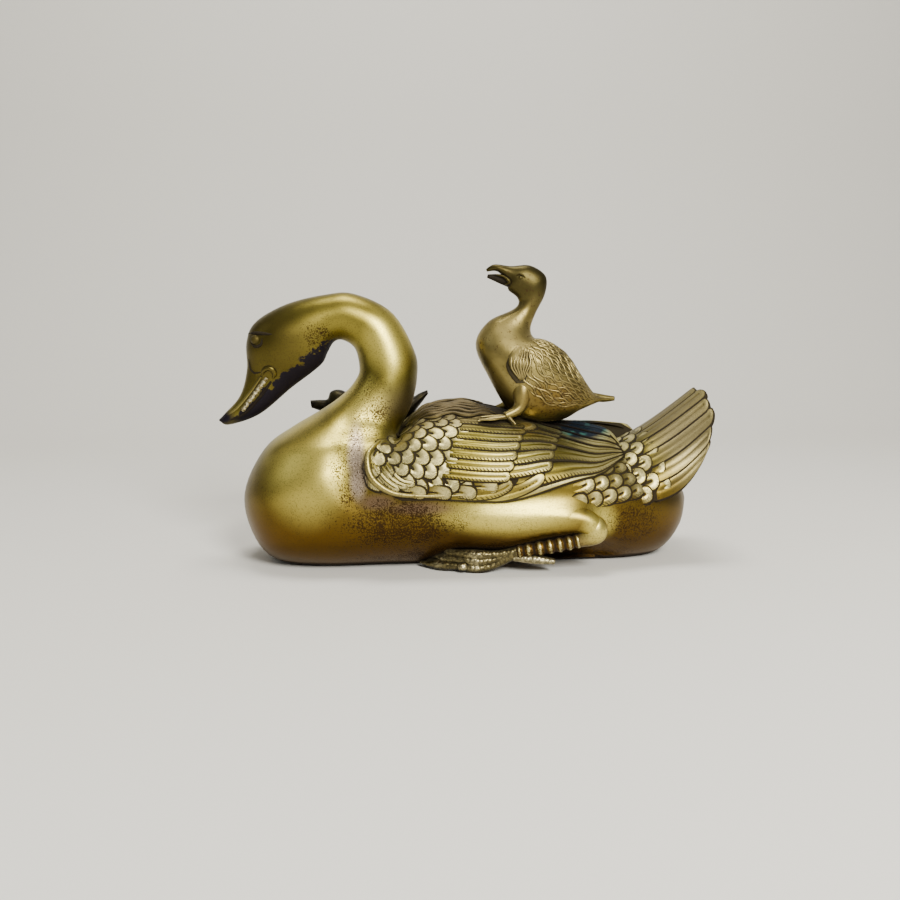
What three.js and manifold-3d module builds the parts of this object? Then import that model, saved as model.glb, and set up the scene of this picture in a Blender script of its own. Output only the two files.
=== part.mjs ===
// A cast brass goose at rest, with one gosling standing on its back and one lying at its far shoulder.
// Millimetres, +Z up. The head looks towards -X, and the flat underside lies on Z = 0.
import * as THREE from 'three';
import { mergeVertices } from 'three/addons/utils/BufferGeometryUtils.js';
import Module from 'manifold-3d';

const wasm = await Module();
wasm.setup();

// Driving sizes of the mother
const wingFront = -55.5;
const wingBack = 77;
const wristLevel = 0.77; // where, between upper edge and rim, the wing reaches furthest forward
const wingLift = 2.4; // how proud the folded wing lies on the flank
const tipRise = 8.5; // how far its upper edge stands off the rump at the tip
const rimThickness = 2.6;
const axisHeight = 37; // height of the wing's lower rim along the flank
const outerSquareness = 0.9;
const innerSquareness = 0.35;
const headStation = 9;
const eyeRadius = 2.9;
const crescentRadius = 3.1;
const toothCount = 7;
const hockRadius = 5.8;
const tarsusRadius = 3.2;
const tarsusRings = 6;
const toeRadius = 2.2;
const tailThickness = 2.2;
const tailLanes = 11;
const fanScallop = 0.018;
const wingLanes = 8;
const farWingExtra = 17;
const shoulderLanes = 3;
const scaleRows = 10;
const scalePitch = 4.6;
const featherBase = 0.5;
const featherTip = 1.7;
const stepBack = 0.0015;

// How the goslings stand and lie on her
const restGap = 0.4;
const coverMargin = 0.02;
const airWidening = 1.02;
const standingMiddle = -12;
const restingMiddle = 31;

// Stations of the mother's trunk from the bill tip over the neck to the rump. Each row is one cut
// through the cast: outer line x, z, inner line x, z, half width, squareness of the outer side and
// where between the two lines it is widest. Behind the neck the cuts turn about one crease.
const trunkStations = [
  [-125.7, 69.3, -124.8, 68.3, 1.8, 0.0, 0.5], // bill tip
  [-122.8, 72.3, -120.4, 66.8, 4.8, 0.3, 0.5],
  [-115.1, 81.4, -105.8, 71.9, 6.8, 0.3, 0.5],
  [-111.7, 94.2, -90.4, 84.6, 8.8, 0.2, 0.5], // bill base
  [-111.7, 107.5, -80.5, 92.0, 12.6, 0.1, 0.45],
  [-107.0, 117.4, -74.6, 97.2, 13.4, 0.1, 0.45], // crown
  [-92.0, 126.0, -72.2, 102.2, 12.6, 0.0, 0.5],
  [-73.3, 130.6, -69.1, 107.3, 11.6, 0.0, 0.5],
  [-59.0, 131.0, -64.7, 108.2, 11.7, 0.0, 0.5], // top of the arch
  [-40.4, 121.8, -58.8, 104.0, 12.6, 0.0, 0.5],
  [-29.1, 102.2, -56.7, 94.3, 14.2, 0.0, 0.5],
  [-28.1, 89.2, -58.4, 88.9, 15.2, 0.0, 0.5],
  [-30.7, 76.7, -63.9, 82.2, 17.2, 0.0, 0.5],
  [-35.0, 67.5, -73.9, 74.8, 21.0, 0.1, 0.5], // root of the neck
  [-36.6, 63.8, -90.0, 65.3, 28.5, 0.4, 0.47],
  [-37.2, 62.2, -103.5, 55.0, 35.0, 0.8, 0.43],
  [-37.6, 61.4, -113.0, 36.0, 39.8, 1.0, 0.4], // front of the breast
  [-37.6, 61.2, -111.5, 18.5, 41.8, 1.0, 0.38],
  [-37.2, 61.6, -101.0, 2.5, 42.8, 1.0, 0.37], // under the breast
  [-34.0, 65.0, -78.0, -3.0, 43.8, 0.8, 0.4],
  [-26.0, 71.8, -46.0, -3.0, 44.8, 0.5, 0.45], // shoulder
  [-4.0, 75.6, -6.0, -3.0, 45.2, 0.3, 0.47],
  [22.0, 70.6, 28.0, -3.0, 44.6, 0.3, 0.44],
  [48.0, 62.5, 54.0, -3.0, 41.5, 0.2, 0.42],
  [72.0, 54.0, 77.0, -3.0, 36.0, 0.1, 0.42],
  [89.0, 48.0, 93.5, 0.5, 28.0, 0.0, 0.45],
  [101.0, 40.0, 103.5, 11.0, 18.0, 0.0, 0.5], // rump
  [107.6, 31.5, 108.2, 23.5, 6.0, 0.0, 0.5],
];
const fanStation = 14.5;

// Stations of the standing gosling, in the same columns, about its own middle plane
const standingStations = [
  [5.8, 143.7, 6.4, 142.6, 0.7, 0, 0.5], // bill tip
  [12.3, 145.6, 14.0, 139.6, 2.4, 0, 0.5],
  [25.5, 145.2, 15.6, 133.0, 4.6, 0, 0.5],
  [34.2, 139.6, 20.0, 129.4, 5.2, 0, 0.5], // back of the head
  [34.0, 131.0, 20.9, 126.2, 4.4, 0, 0.5],
  [29.4, 121.5, 17.6, 123.0, 4.6, 0, 0.5], // neck
  [26.9, 114.2, 6.0, 117.3, 7.6, 0.1, 0.5],
  [28.6, 109.6, 0.0, 106.5, 12.6, 0.4, 0.5],
  [36.0, 107.2, 5.5, 92.0, 16.2, 0.4, 0.5],
  [44.4, 101.4, 20.0, 70.0, 17.0, 0.2, 0.5],
  [51.5, 91.0, 40.0, 68.6, 14.5, 0.1, 0.5],
  [57.5, 82.6, 51.0, 73.6, 8.0, 0.1, 0.5],
  [63.5, 80.2, 62.5, 78.0, 4.2, 0, 0.5], // tail
  [70.2, 79.4, 70.0, 78.4, 2.0, 0, 0.5],
];

// Stations of the resting gosling, the same way
const restingStations = [
  [-82.6, 75.6, -82.0, 71.6, 2.2, 0, 0.5], // bill tip
  [-78.0, 75.8, -77.2, 70.0, 3.2, 0, 0.5],
  [-73.8, 76.2, -71.0, 69.0, 4.2, 0, 0.5],
  [-71.8, 80.2, -67.5, 68.4, 5.4, 0, 0.5], // crown
  [-66.0, 80.8, -64.5, 67.0, 6.2, 0, 0.5],
  [-56.5, 75.5, -62.5, 63.5, 6.8, 0, 0.5], // nape
  [-51.0, 75.0, -58.0, 59.0, 9.5, 0, 0.5],
  [-44.0, 78.0, -46.0, 56.0, 12.0, 0, 0.5],
  [-36.0, 77.5, -35.5, 59.0, 11.0, 0, 0.5],
  [-30.0, 76.5, -28.5, 68.0, 6.5, 0, 0.5],
  [-25.0, 79.0, -23.5, 74.5, 3.2, 0, 0.5],
  [-21.0, 80.6, -20.6, 78.4, 1.8, 0, 0.5], // tail
];

// Smooth steps and tables
const clamp = THREE.MathUtils.clamp;
const lerp = THREE.MathUtils.lerp;
const smooth = (x, from, to) => THREE.MathUtils.smoothstep(x, from, to);
const point = (x, y, z) => new THREE.Vector3(x, y, z);

function readTable(rows, position) {
  const last = rows.length - 1;
  const start = clamp(Math.floor(position), 0, last - 1);
  const f = position - start;
  const before = rows[Math.max(start - 1, 0)];
  const here = rows[start];
  const next = rows[start + 1];
  const after = rows[Math.min(start + 2, last)];
  return here.map((value, k) => {
    const slope = next[k] - before[k];
    const bend = 2 * before[k] - 5 * value + 4 * next[k] - after[k];
    const twist = 3 * value - before[k] - 3 * next[k] + after[k];
    return value + 0.5 * (slope * f + bend * f * f + twist * f ** 3);
  });
}

// Shapes are points and triangles. All rings of a loft have the same number of points. A ring runs along
// its outer side (the first outerCount points) and back along its inner side, and the ends are closed
// by strips between the two.
function loft(rings, outerCount = rings[0].length / 2) {
  const count = rings[0].length;
  const triangles = [];
  const at = (ring, k) => ring * count + (k % count);
  for (let ring = 0; ring < rings.length - 1; ring++) {
    for (let k = 0; k < count; k++) {
      triangles.push(at(ring, k), at(ring, k + 1), at(ring + 1, k + 1));
      triangles.push(at(ring, k), at(ring + 1, k + 1), at(ring + 1, k));
    }
  }
  const innerCount = count - outerCount;
  for (const [ring, turned] of [[0, true], [rings.length - 1, false]]) {
    let outer = 0;
    let inner = 0;
    while (outer < outerCount - 1 || inner < innerCount - 1) {
      const outerIsBehind = (outer + 1) / outerCount <= (inner + 1) / innerCount;
      const onOuter = outerIsBehind ? outer < outerCount - 1 : inner >= innerCount - 1;
      const third = onOuter ? outer + 1 : count - 2 - inner;
      const corners = [at(ring, outer), at(ring, third), at(ring, count - 1 - inner)];
      if (onOuter) outer++;
      else inner++;
      triangles.push(...(turned ? corners.reverse() : corners));
    }
  }
  return { points: rings.flat(), triangles };
}

function ball(centre, radii, around, rows) {
  const geometry = new THREE.SphereGeometry(1, around, rows);
  geometry.deleteAttribute('normal');
  geometry.deleteAttribute('uv');
  const merged = mergeVertices(geometry);
  const place = merged.attributes.position;
  const points = Array.from({ length: place.count }, (_, k) => (
    point(place.getX(k), place.getY(k), place.getZ(k)).multiply(radii).add(centre)
  ));
  return { points, triangles: Array.from(merged.index.array) };
}

// A round limb along a smooth path. radii is read along the path.
function limb(path, radii, sections, sides, flatness = 1) {
  const curve = new THREE.CatmullRomCurve3(path, false, 'centripetal');
  const rings = [];
  for (let i = 0; i <= sections; i++) {
    const u = i / sections;
    const centre = curve.getPoint(u);
    const ahead = curve.getTangent(u);
    const across = point(0, 1, 0).addScaledVector(ahead, -ahead.y).normalize();
    const up = across.clone().cross(ahead);
    const [radius] = readTable(radii.map((r) => [r]), u * (radii.length - 1));
    rings.push(Array.from({ length: sides }, (_, k) => {
      const turn = (2 * Math.PI * (k + 0.5)) / sides;
      return centre.clone()
        .addScaledVector(across, radius * Math.cos(turn))
        .addScaledVector(up, radius * flatness * Math.sin(turn));
    }));
  }
  return loft(rings);
}

const moved = (shape, change) => ({ points: shape.points.map(change), triangles: shape.triangles });
const flip = (shape) => moved(shape, (p) => point(p.x, -p.y, p.z));
const bothSides = (shapes) => shapes.flatMap((shape) => [shape, flip(shape)]);

function signedVolume({ points, triangles }) {
  let sum = 0;
  for (let t = 0; t < triangles.length; t += 3) {
    const [a, b, c] = [0, 1, 2].map((k) => points[triangles[t + k]]);
    sum += a.dot(b.clone().cross(c));
  }
  return sum;
}

function solidOf(shape) {
  const triVerts = new Uint32Array(shape.triangles);
  if (signedVolume(shape) < 0) triVerts.reverse();
  const vertProperties = new Float32Array(shape.points.flatMap((p) => [p.x, p.y, p.z]));
  return new wasm.Manifold(new wasm.Mesh({ numProp: 3, vertProperties, triVerts }));
}

const joined = (shapes) => shapes.map(solidOf).reduce((whole, solid) => whole.add(solid));
const cut = (solid, shapes) => shapes.reduce((left, shape) => left.subtract(solidOf(shape)), solid);

// The surface of a trunk at a station, at an angle from its outer line (0) to its inner line (180)
function trunkSkin(stations, station, angle) {
  const [ox, oz, ix, iz, halfWidth, square, widest] = readTable(stations, station);
  const c = Math.cos(angle);
  const power = 2 / (2 + (c > 0 ? outerSquareness : innerSquareness) * square);
  const along = c > 0 ? widest * (1 - c ** power) : widest + (1 - widest) * (-c) ** power;
  return point(lerp(ox, ix, along), -halfWidth * Math.sin(angle) ** power, lerp(oz, iz, along));
}

function trunkLoft(stations, sections, around) {
  const rings = [];
  for (let i = 0; i <= sections; i++) {
    const station = ((stations.length - 1) * i) / sections;
    rings.push(Array.from({ length: around }, (_, k) => {
      const turn = (2 * Math.PI * k) / around;
      const p = trunkSkin(stations, station, turn <= Math.PI ? turn : 2 * Math.PI - turn);
      return turn <= Math.PI ? p : point(p.x, -p.y, p.z);
    }));
  }
  return loft(rings);
}

// Half the trunk's width behind the point x, z of the side view, or 0 outside its outline,
// between two of the mother's stations
function trunkHalfWidth(x, z, from = fanStation, to = trunkStations.length - 1.02) {
  let low = from;
  let high = to;
  for (let step = 0; step < 18; step++) {
    const middle = (low + high) / 2;
    const [ox, oz, ix, iz] = readTable(trunkStations, middle);
    if ((ix - ox) * (z - oz) - (iz - oz) * (x - ox) > 0) low = middle;
    else high = middle;
  }
  const [ox, oz, ix, iz, halfWidth, square, widest] = readTable(trunkStations, low);
  const along = ((x - ox) * (ix - ox) + (z - oz) * (iz - oz)) / ((ix - ox) ** 2 + (iz - oz) ** 2);
  if (along <= 0 || along >= 1) return 0;
  const reach = along < widest ? 1 - along / widest : (along - widest) / (1 - widest);
  const power = 2 / (2 + (along < widest ? outerSquareness : innerSquareness) * square);
  return halfWidth * Math.sqrt(1 - reach ** (2 / power)) ** power;
}

// The folded wing's own chart: x in mm, and v from the wing's upper edge (0) to its lower rim (1).
// Both edges are angles about an axis that runs through the body at the height of the rim.
function rimAngle(x) {
  const tipward = Math.max(0, (x - 50) / 26);
  return 91 - 14 * smooth(x, 5, 55) - 29 * tipward * tipward;
}

function upperAngle(x) {
  return 4 + 30 * smooth(x, 25, 60) + 10 * smooth(x, 60, wingBack);
}

function frontEdge(v) {
  if (v < wristLevel) return wingFront + 18.5 * (1 - smooth(v, wristLevel - 0.4, wristLevel));
  return wingFront + 340 * (v - wristLevel) ** 2;
}

function backEdge(v) {
  return wingBack - 9 * (1 - v) ** 2 - 5 * v ** 2;
}

const skinRadius = new Map();
function radiusAt(x, angle) {
  const key = `${x.toFixed(2)} ${angle.toFixed(2)}`;
  if (skinRadius.has(key)) return skinRadius.get(key);
  const turn = THREE.MathUtils.degToRad(angle);
  let low = 0;
  let high = 75;
  for (let step = 0; step < 16; step++) {
    const middle = (low + high) / 2;
    if (middle * Math.sin(turn) < trunkHalfWidth(x, axisHeight + middle * Math.cos(turn))) low = middle;
    else high = middle;
  }
  skinRadius.set(key, low);
  return low;
}

function bodySkin(x, angle, lift) {
  const turn = THREE.MathUtils.degToRad(angle);
  const radius = radiusAt(x, angle) + lift;
  return point(x, -radius * Math.sin(turn), axisHeight + radius * Math.cos(turn));
}

function wingSkin(x, v, lift) {
  const angle = lerp(upperAngle(x), rimAngle(x), v);
  const bladeRise = tipRise * smooth(x, 32, 66) * (1 - v) ** 1.3;
  return bodySkin(x, angle, lift + bladeRise);
}

// Carved feathers lie in lanes. A lane is a ridge between two grooves, and where one of its feathers
// ends, the ridge steps down from the raised tip to the sunk base of the next. The rows give places
// as [share across, share along, lift], and tipsOfLane lists the stops where a lane's feathers end.
function featherRows(stops, laneCount, tipsOfLane, tipReach) {
  const rows = [];
  const lastStop = stops.length - 1;
  const tips = Array.from({ length: laneCount }, (_, lane) => tipsOfLane(lane));
  stops.forEach((stop, k) => {
    const ends = tips.map((list) => list.includes(k));
    for (const past of ends.includes(true) ? [0, 1] : [0]) {
      const along = stop + past * stepBack;
      rows.push(Array.from({ length: 2 * laneCount + 1 }, (_, column) => {
        const across = column / (2 * laneCount);
        const lane = (column - 1) / 2;
        if (!Number.isInteger(lane)) {
          const besideTip = ends[column / 2] || ends[column / 2 - 1];
          return [across, along - (besideTip ? tipReach : 0), 0];
        }
        const before = Math.max(0, ...tips[lane].filter((tip) => tip < k));
        const next = Math.min(lastStop, ...tips[lane].filter((tip) => tip >= k));
        const share = next > before ? (stop - stops[before]) / (stops[next] - stops[before]) : 0;
        const lift = ends[lane] && past ? featherBase : lerp(featherBase, featherTip, share);
        return [across, along + (ends[lane] ? tipReach : 0), lift];
      }));
    }
  });
  return rows;
}

// A wing: scales in staggered rows at the front, secondaries, then long primaries to the tip. With a
// cover, it is the smooth hull that lies that far above the feathers.
function wingShape(cover = 0) {
  const length = wingBack - wingFront;
  const scaleStops = Array.from({ length: scaleRows + 1 }, (_, k) => (k * scalePitch) / length);
  const stops = [...scaleStops, 0.45, 0.54, 0.64, 0.76, 0.88, 1];
  const tipsOfLane = (lane) => {
    const every = lane < shoulderLanes ? 4 : 2;
    const shift = (lane % 2) * (every / 2);
    const scaleTips = scaleStops.map((_, k) => k).filter((k) => k > 0 && (k + shift) % every === 0);
    return [...scaleTips, scaleRows + 2 + (lane % 2)];
  };
  const buried = [1, 0.5, 0];
  return loft(featherRows(stops, wingLanes, tipsOfLane, 0.008).map((row) => {
    const outer = row.map(([v, along, lift]) => {
      const x = lerp(frontEdge(v), backEdge(v), clamp(along, 0, 1));
      if (cover) return wingSkin(x, lerp(-coverMargin, 1, v), wingLift + featherTip + cover);
      return wingSkin(x, v, wingLift + lift);
    });
    const inner = buried.map((v) => {
      const x = lerp(frontEdge(v), backEdge(v), clamp(row[0][1], 0, 1));
      const angle = lerp(upperAngle(x), rimAngle(x), v === 0 && cover ? -coverMargin : v);
      return bodySkin(x, angle, v === 1 ? -0.4 * rimThickness : -rimThickness);
    });
    return [...outer, ...inner];
  }), 2 * wingLanes + 1);
}

// The far wing is the longer one
function longer(shape) {
  return moved(shape, (p) => point(p.x + farWingExtra * smooth(p.x, 15, wingBack + 8), p.y, p.z));
}

// The tail: one arched sheet that starts as a skirt over the rump and rises to a fan
function tailSkin(across, along, lift) {
  const spine = (a, t) => {
    const turn = a * (Math.PI / 2);
    const sweep = Math.sin(turn);
    const drop = 1 - Math.cos(turn);
    const knots = [
      point(50 + 4 * drop, 38 * sweep, 55 - 27 * drop),
      point(74 + 8 * drop, 36 * sweep, 51 - 23 * drop),
      point(91 + 8 * drop, 28 * sweep, 65 - 33 * drop),
      point(117 + 14 * Math.abs(a) - 19 * a * a, 29 * sweep, 85.5 - 31 * drop),
    ];
    const mix = [(1 - t) ** 3, 3 * t * (1 - t) ** 2, 3 * t * t * (1 - t), t ** 3];
    return knots.reduce((sum, knot, k) => sum.addScaledVector(knot, mix[k]), point(0, 0, 0));
  };
  const a = clamp(across, -0.99, 0.99);
  const t = clamp(along, 0.01, 0.99);
  const acrossWay = spine(a + 0.01, t).sub(spine(a - 0.01, t));
  const alongWay = spine(a, t + 0.01).sub(spine(a, t - 0.01));
  return spine(across, along).addScaledVector(alongWay.cross(acrossWay).normalize(), lift);
}

function tailShape() {
  const stops = [0.02, 0.12, 0.22, 0.32, 0.42, 0.52, 0.67, 0.83, 0.97];
  const scaleStops = [1, 2, 3, 4, 5];
  const tipsOfLane = (lane) => scaleStops.filter((k) => (k + lane) % 2 === 0);
  const buried = [0.9, 0.6, 0.2, -0.2, -0.6, -0.9];
  return loft(featherRows(stops, tailLanes, tipsOfLane, 0.014).map((row) => {
    const atTip = row[0][1] > 0.9;
    const outer = row.map(([across, along, lift], column) => {
      const scallop = atTip ? fanScallop * (column % 2 ? 1 : -1) : 0;
      return tailSkin(2 * across - 1, along + scallop, lift);
    });
    return [...outer, ...buried.map((across) => tailSkin(across, row[0][1], -tailThickness))];
  }), 2 * tailLanes + 1);
}

// Leg folded under the flank: thigh, hock, ringed tarsus and a webbed foot on its side
function legShapes() {
  const thigh = limb(
    [point(-30, -28, 27), point(-9, -33, 25.5), point(11, -34.5, 24.5), point(31, -38, 25.5), point(46, -42, 25),
      point(53, -43, 21)],
    [5, 11.5, 13, 9.5, 6.6, hockRadius], 9, 10,
  );
  const ankle = point(16.5, -39.5, 9.6);
  const tarsusLine = [point(52.5, -43.2, 18.4), point(45, -43.3, 15.6), point(31, -42.2, 12.6), ankle];
  const ringed = Array.from({ length: 2 * tarsusRings + 1 }, (_, k) => tarsusRadius + (k % 2 ? 0.5 : -0.3));
  const hock = limb([point(53, -43, 21), tarsusLine[0], tarsusLine[1]], [hockRadius, 5.4, 3.6], 3, 8);
  const tarsus = limb(tarsusLine, ringed, 2 * tarsusRings, 7);
  const toeHeights = [2.3, 5.3, 8.2];
  const foot = loft([0, 0.3, 0.62, 0.9].map((u) => {
    const x = lerp(ankle.x + 1, -21, u);
    const y = lerp(ankle.y, -30, u * u);
    const spread = lerp(0.5, 1, smooth(u, 0, 0.45));
    const sole = 5.4 * (1 - smooth(u, 0, 0.45));
    const outline = toeHeights.flatMap((z) => [
      point(x, y - toeRadius, sole + (z - 1.3) * spread),
      point(x, y - toeRadius, sole + (z + 1.3) * spread),
    ]);
    return [point(x, y + 5, sole + 0.2), ...outline, point(x, y + 5, sole + 9.6 * spread)];
  }));
  const toes = toeHeights.map((z, k) => limb(
    [
      point(2, -37, z), point(-12, -35 + k, z),
      point(-22 + 3 * k, -30 + k, z + 0.3), point(-28 + 4 * k, -26 + k, z),
    ],
    [toeRadius, toeRadius + 0.2, 1.9, 0.6], 4, 6,
  ));
  const hindToe = limb([point(15, -39.5, 7.2), point(25, -41.5, 6.6), point(34, -42, 5.4)], [2.4, 2.4, 1.6], 2, 6);
  return [thigh, hock, tarsus, foot, ...toes, hindToe];
}

// Head: eye under a straight brow, the crescent at the corner of the mouth, and the row of teeth
const browLine = [[-110, 111.6], [-105.5, 111.8], [-100, 111]];

function onHead(x, z, proud) {
  return point(x, -trunkHalfWidth(x, z, 0, headStation) - proud, z);
}

function headShapes() {
  const eyeSize = point(eyeRadius, eyeRadius * 0.8, eyeRadius * 0.9);
  const eye = ball(onHead(-106.1, 108.8, -0.9), eyeSize, 7, 4);
  const brow = limb(browLine.map(([x, z]) => onHead(x, z, 0)), [0.7, 1.2, 0.4], 3, 4);
  const crescent = limb([-40, 15, 70, 125, 180].map((degrees) => {
    const turn = THREE.MathUtils.degToRad(degrees);
    return onHead(-100.2 + crescentRadius * Math.cos(turn), 92 + crescentRadius * Math.sin(turn), 0.1);
  }), [0.7, 1.2, 1.2, 0.7], 5, 4);
  const teeth = Array.from({ length: toothCount }, (_, k) => {
    const share = (k + 0.5) / toothCount;
    return ball(onHead(lerp(-113.2, -101.5, share), lerp(74.8, 90.3, share), 0), point(1.4, 1.1, 1.4), 4, 3);
  });
  return [eye, brow, crescent, ...teeth];
}

// The groove of the mouth, cut into one side of the bill just ahead of the teeth
function mouthGroove() {
  const line = [point(-118.5, 0, 72), point(-113, 0, 77.6), point(-107.5, 0, 84), point(-103, 0, 91)];
  return loft(line.map((centre, k) => {
    const outside = lerp(8, 12, k / 3);
    const inside = lerp(4.2, 7.2, k / 3);
    const half = 0.7;
    return [
      point(centre.x - half, -outside, centre.z + half),
      point(centre.x + half, -outside, centre.z - half),
      point(centre.x, -inside, centre.z),
      point(centre.x - 0.1, -inside - 0.1, centre.z + 0.1),
    ];
  }));
}

// What lies below the flat underside
const belowBase = loft([-200, 200].map((x) => [
  point(x, -90, 0), point(x, 90, 0), point(x, 90, -30), point(x, -90, -30),
]));

const trunk = trunkLoft(trunkStations, 44, 16);
const bodyShapes = [trunk, wingShape(), longer(flip(wingShape())), tailShape()];
const mother = cut(
  joined([...bodyShapes, ...bothSides([...legShapes(), ...headShapes()])]),
  [...bothSides([mouthGroove()]), belowBase],
);

// The standing gosling, about its own middle plane: open bill, small wings, and legs with flat feet
function standingGosling() {
  const lowerBill = limb([point(18, 0, 136.4), point(12, 0, 138.1), point(6.6, 0, 139.7)], [2.6, 1.7, 0.7], 3, 6);
  const eye = ball(point(21.2, -4.3, 138.6), point(1.3, 0.9, 1.3), 6, 4);
  const wingLine = [point(22, -12, 105), point(18.8, -14.4, 98), point(20.4, -14, 90.5)];
  const wing = limb(wingLine, [1.8, 3.1, 1.2], 4, 8, 1.75);
  const leg = limb(
    [point(20, -9, 88), point(21.3, -11.5, 78.5), point(18.4, -13.5, 74.4), point(12.2, -16, 72.4)],
    [4.6, 2.6, 1.9, 1.5], 5, 6,
  );
  const heel = point(13.5, -15.6, 72.4);
  const toeTips = [point(-1.5, -20.5, 70.6), point(1.5, -14, 73.4), point(16.5, -21, 69.4)];
  const toes = toeTips.map((tip) => (
    limb([heel, tip.clone().lerp(heel, 0.5).add(point(0, 0, 0.4)), tip], [1.5, 1.2, 0.5], 2, 5)
  ));
  return [trunkLoft(standingStations, 20, 10), lowerBill, ...bothSides([eye, wing, leg, ...toes])];
}

// A gosling is cut to the shape of what it lies on, with a little air between
const coveredWing = moved(wingShape(restGap), (p) => point(p.x - restGap, p.y, p.z));
const widerTrunk = moved(trunk, (p) => point(p.x, p.y * airWidening, p.z + restGap));
const airedBody = [widerTrunk, coveredWing, longer(flip(coveredWing))];
const place = (shapes, middle) => shapes.map((shape) => moved(shape, (p) => point(p.x, p.y + middle, p.z)));
const standing = cut(joined(place(standingGosling(), standingMiddle)), airedBody);
const resting = cut(joined(place([trunkLoft(restingStations, 22, 10)], restingMiddle)), airedBody);

function meshOf(name, solid, material) {
  const { vertProperties, triVerts } = solid.getMesh();
  const geometry = new THREE.BufferGeometry();
  geometry.setAttribute('position', new THREE.BufferAttribute(new Float32Array(vertProperties), 3));
  geometry.setIndex(new THREE.BufferAttribute(new Uint32Array(triVerts), 1));
  const mesh = new THREE.Mesh(geometry, material);
  mesh.name = name;
  return mesh;
}

const brass = new THREE.MeshStandardMaterial({ color: 0x8f7a3c, roughness: 0.42, metalness: 1 });
const dullBrass = new THREE.MeshStandardMaterial({ color: 0x756532, roughness: 0.5, metalness: 1 });

const family = new THREE.Group();
family.add(meshOf('mother_goose', mother, brass));
family.add(meshOf('standing_gosling', standing, dullBrass));
family.add(meshOf('resting_gosling', resting, dullBrass));

// The whole group stands over its own middle
const middle = new THREE.Box3().setFromObject(family).getCenter(point(0, 0, 0));
family.position.set(-middle.x, -middle.y, 0);

export default family;
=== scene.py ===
"""A cast brass goose with two goslings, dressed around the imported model. Metres, +Z up.

Working sizes are millimetres in the founder's own frame, where the beak points to -X, and are shifted
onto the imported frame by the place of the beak's tip.
"""
import bpy
import math
import numpy as np
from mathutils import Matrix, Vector


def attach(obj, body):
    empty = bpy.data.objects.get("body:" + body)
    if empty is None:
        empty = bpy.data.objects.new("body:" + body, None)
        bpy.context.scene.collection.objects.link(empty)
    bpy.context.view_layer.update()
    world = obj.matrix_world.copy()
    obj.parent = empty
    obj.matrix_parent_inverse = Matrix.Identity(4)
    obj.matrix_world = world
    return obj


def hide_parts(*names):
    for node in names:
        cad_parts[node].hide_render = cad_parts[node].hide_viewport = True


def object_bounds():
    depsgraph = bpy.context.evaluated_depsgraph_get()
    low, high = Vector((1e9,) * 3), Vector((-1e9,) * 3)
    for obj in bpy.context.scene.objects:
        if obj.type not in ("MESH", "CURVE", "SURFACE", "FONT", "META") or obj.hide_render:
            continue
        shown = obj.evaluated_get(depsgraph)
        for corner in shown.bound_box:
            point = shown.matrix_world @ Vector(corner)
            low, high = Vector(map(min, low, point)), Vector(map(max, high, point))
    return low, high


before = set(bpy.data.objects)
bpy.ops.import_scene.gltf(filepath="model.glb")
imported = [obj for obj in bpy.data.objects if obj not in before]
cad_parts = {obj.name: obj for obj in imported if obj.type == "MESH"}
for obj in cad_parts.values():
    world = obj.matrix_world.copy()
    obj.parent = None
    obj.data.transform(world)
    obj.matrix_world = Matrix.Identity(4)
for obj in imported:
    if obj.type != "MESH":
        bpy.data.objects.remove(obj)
cad_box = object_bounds()

# The camera is at the photograph's viewing angle: level with the goose's back, a little from its left
# breast, and looking slightly down. The lens is 40 mm and the picture is shifted down by 60 of 900.
beak_tip_x = -125.7
camera_place, looks_down, turned_right = (-55.1, -497.3, 125.0), 0.084, 5
shifted_down = 60 / 900
shift_x = cad_box[0][0] * 1000 - beak_tip_x


def to_metres(points_mm):
    return (np.asarray(points_mm, float) + [shift_x, 0, 0]) * 0.001


camera_data = bpy.data.cameras.new("camera")
camera_data.lens = 40
camera_data.sensor_width = 36
camera_data.shift_y = -shifted_down
camera = bpy.data.objects.new("camera", camera_data)
camera.location = to_metres(camera_place)
camera.rotation_euler = (math.pi / 2 - math.atan(looks_down), 0, -math.radians(turned_right))
bpy.context.scene.collection.objects.link(camera)
bpy.context.scene.camera = camera

# Floor and wall: one pale matt sweep, rounded where the floor turns up.
sweep_width, sweep_front, sweep_back, sweep_top = 3.0, -1.2, 0.75, 2.2
sweep_radius = 0.35
profile = [(sweep_front, 0.0)]
for turn in np.linspace(0, math.pi / 2, 13):
    profile.append((sweep_back - sweep_radius * (1 - math.sin(turn)), sweep_radius * (1 - math.cos(turn))))
profile.append((sweep_back, sweep_top))
sweep_points = [(x, y, z) for y, z in profile for x in (-sweep_width, sweep_width)]
sweep_faces = [(2 * k, 2 * k + 1, 2 * k + 3, 2 * k + 2) for k in range(len(profile) - 1)]
sweep_mesh = bpy.data.meshes.new("sweep")
sweep_mesh.from_pydata(sweep_points, [], sweep_faces)
sweep_mesh.polygons.foreach_set("use_smooth", [True] * len(sweep_faces))
sweep = bpy.data.objects.new("sweep", sweep_mesh)
bpy.context.scene.collection.objects.link(sweep)
sweep_paint = bpy.data.materials.new("sweep_paint")
sweep_paint.use_nodes = True
sweep_shader = sweep_paint.node_tree.nodes["Principled BSDF"]
sweep_shader.inputs["Base Color"].default_value = (0.72, 0.705, 0.655, 1)
sweep_shader.inputs["Roughness"].default_value = 0.9
sweep_mesh.materials.append(sweep_paint)


# Soft light: a large window high in front, a ceiling panel, and a weak one on the beak's side. All of
# them face a point inside the body.
lit_point = Vector((0, 0, 0.06))


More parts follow.
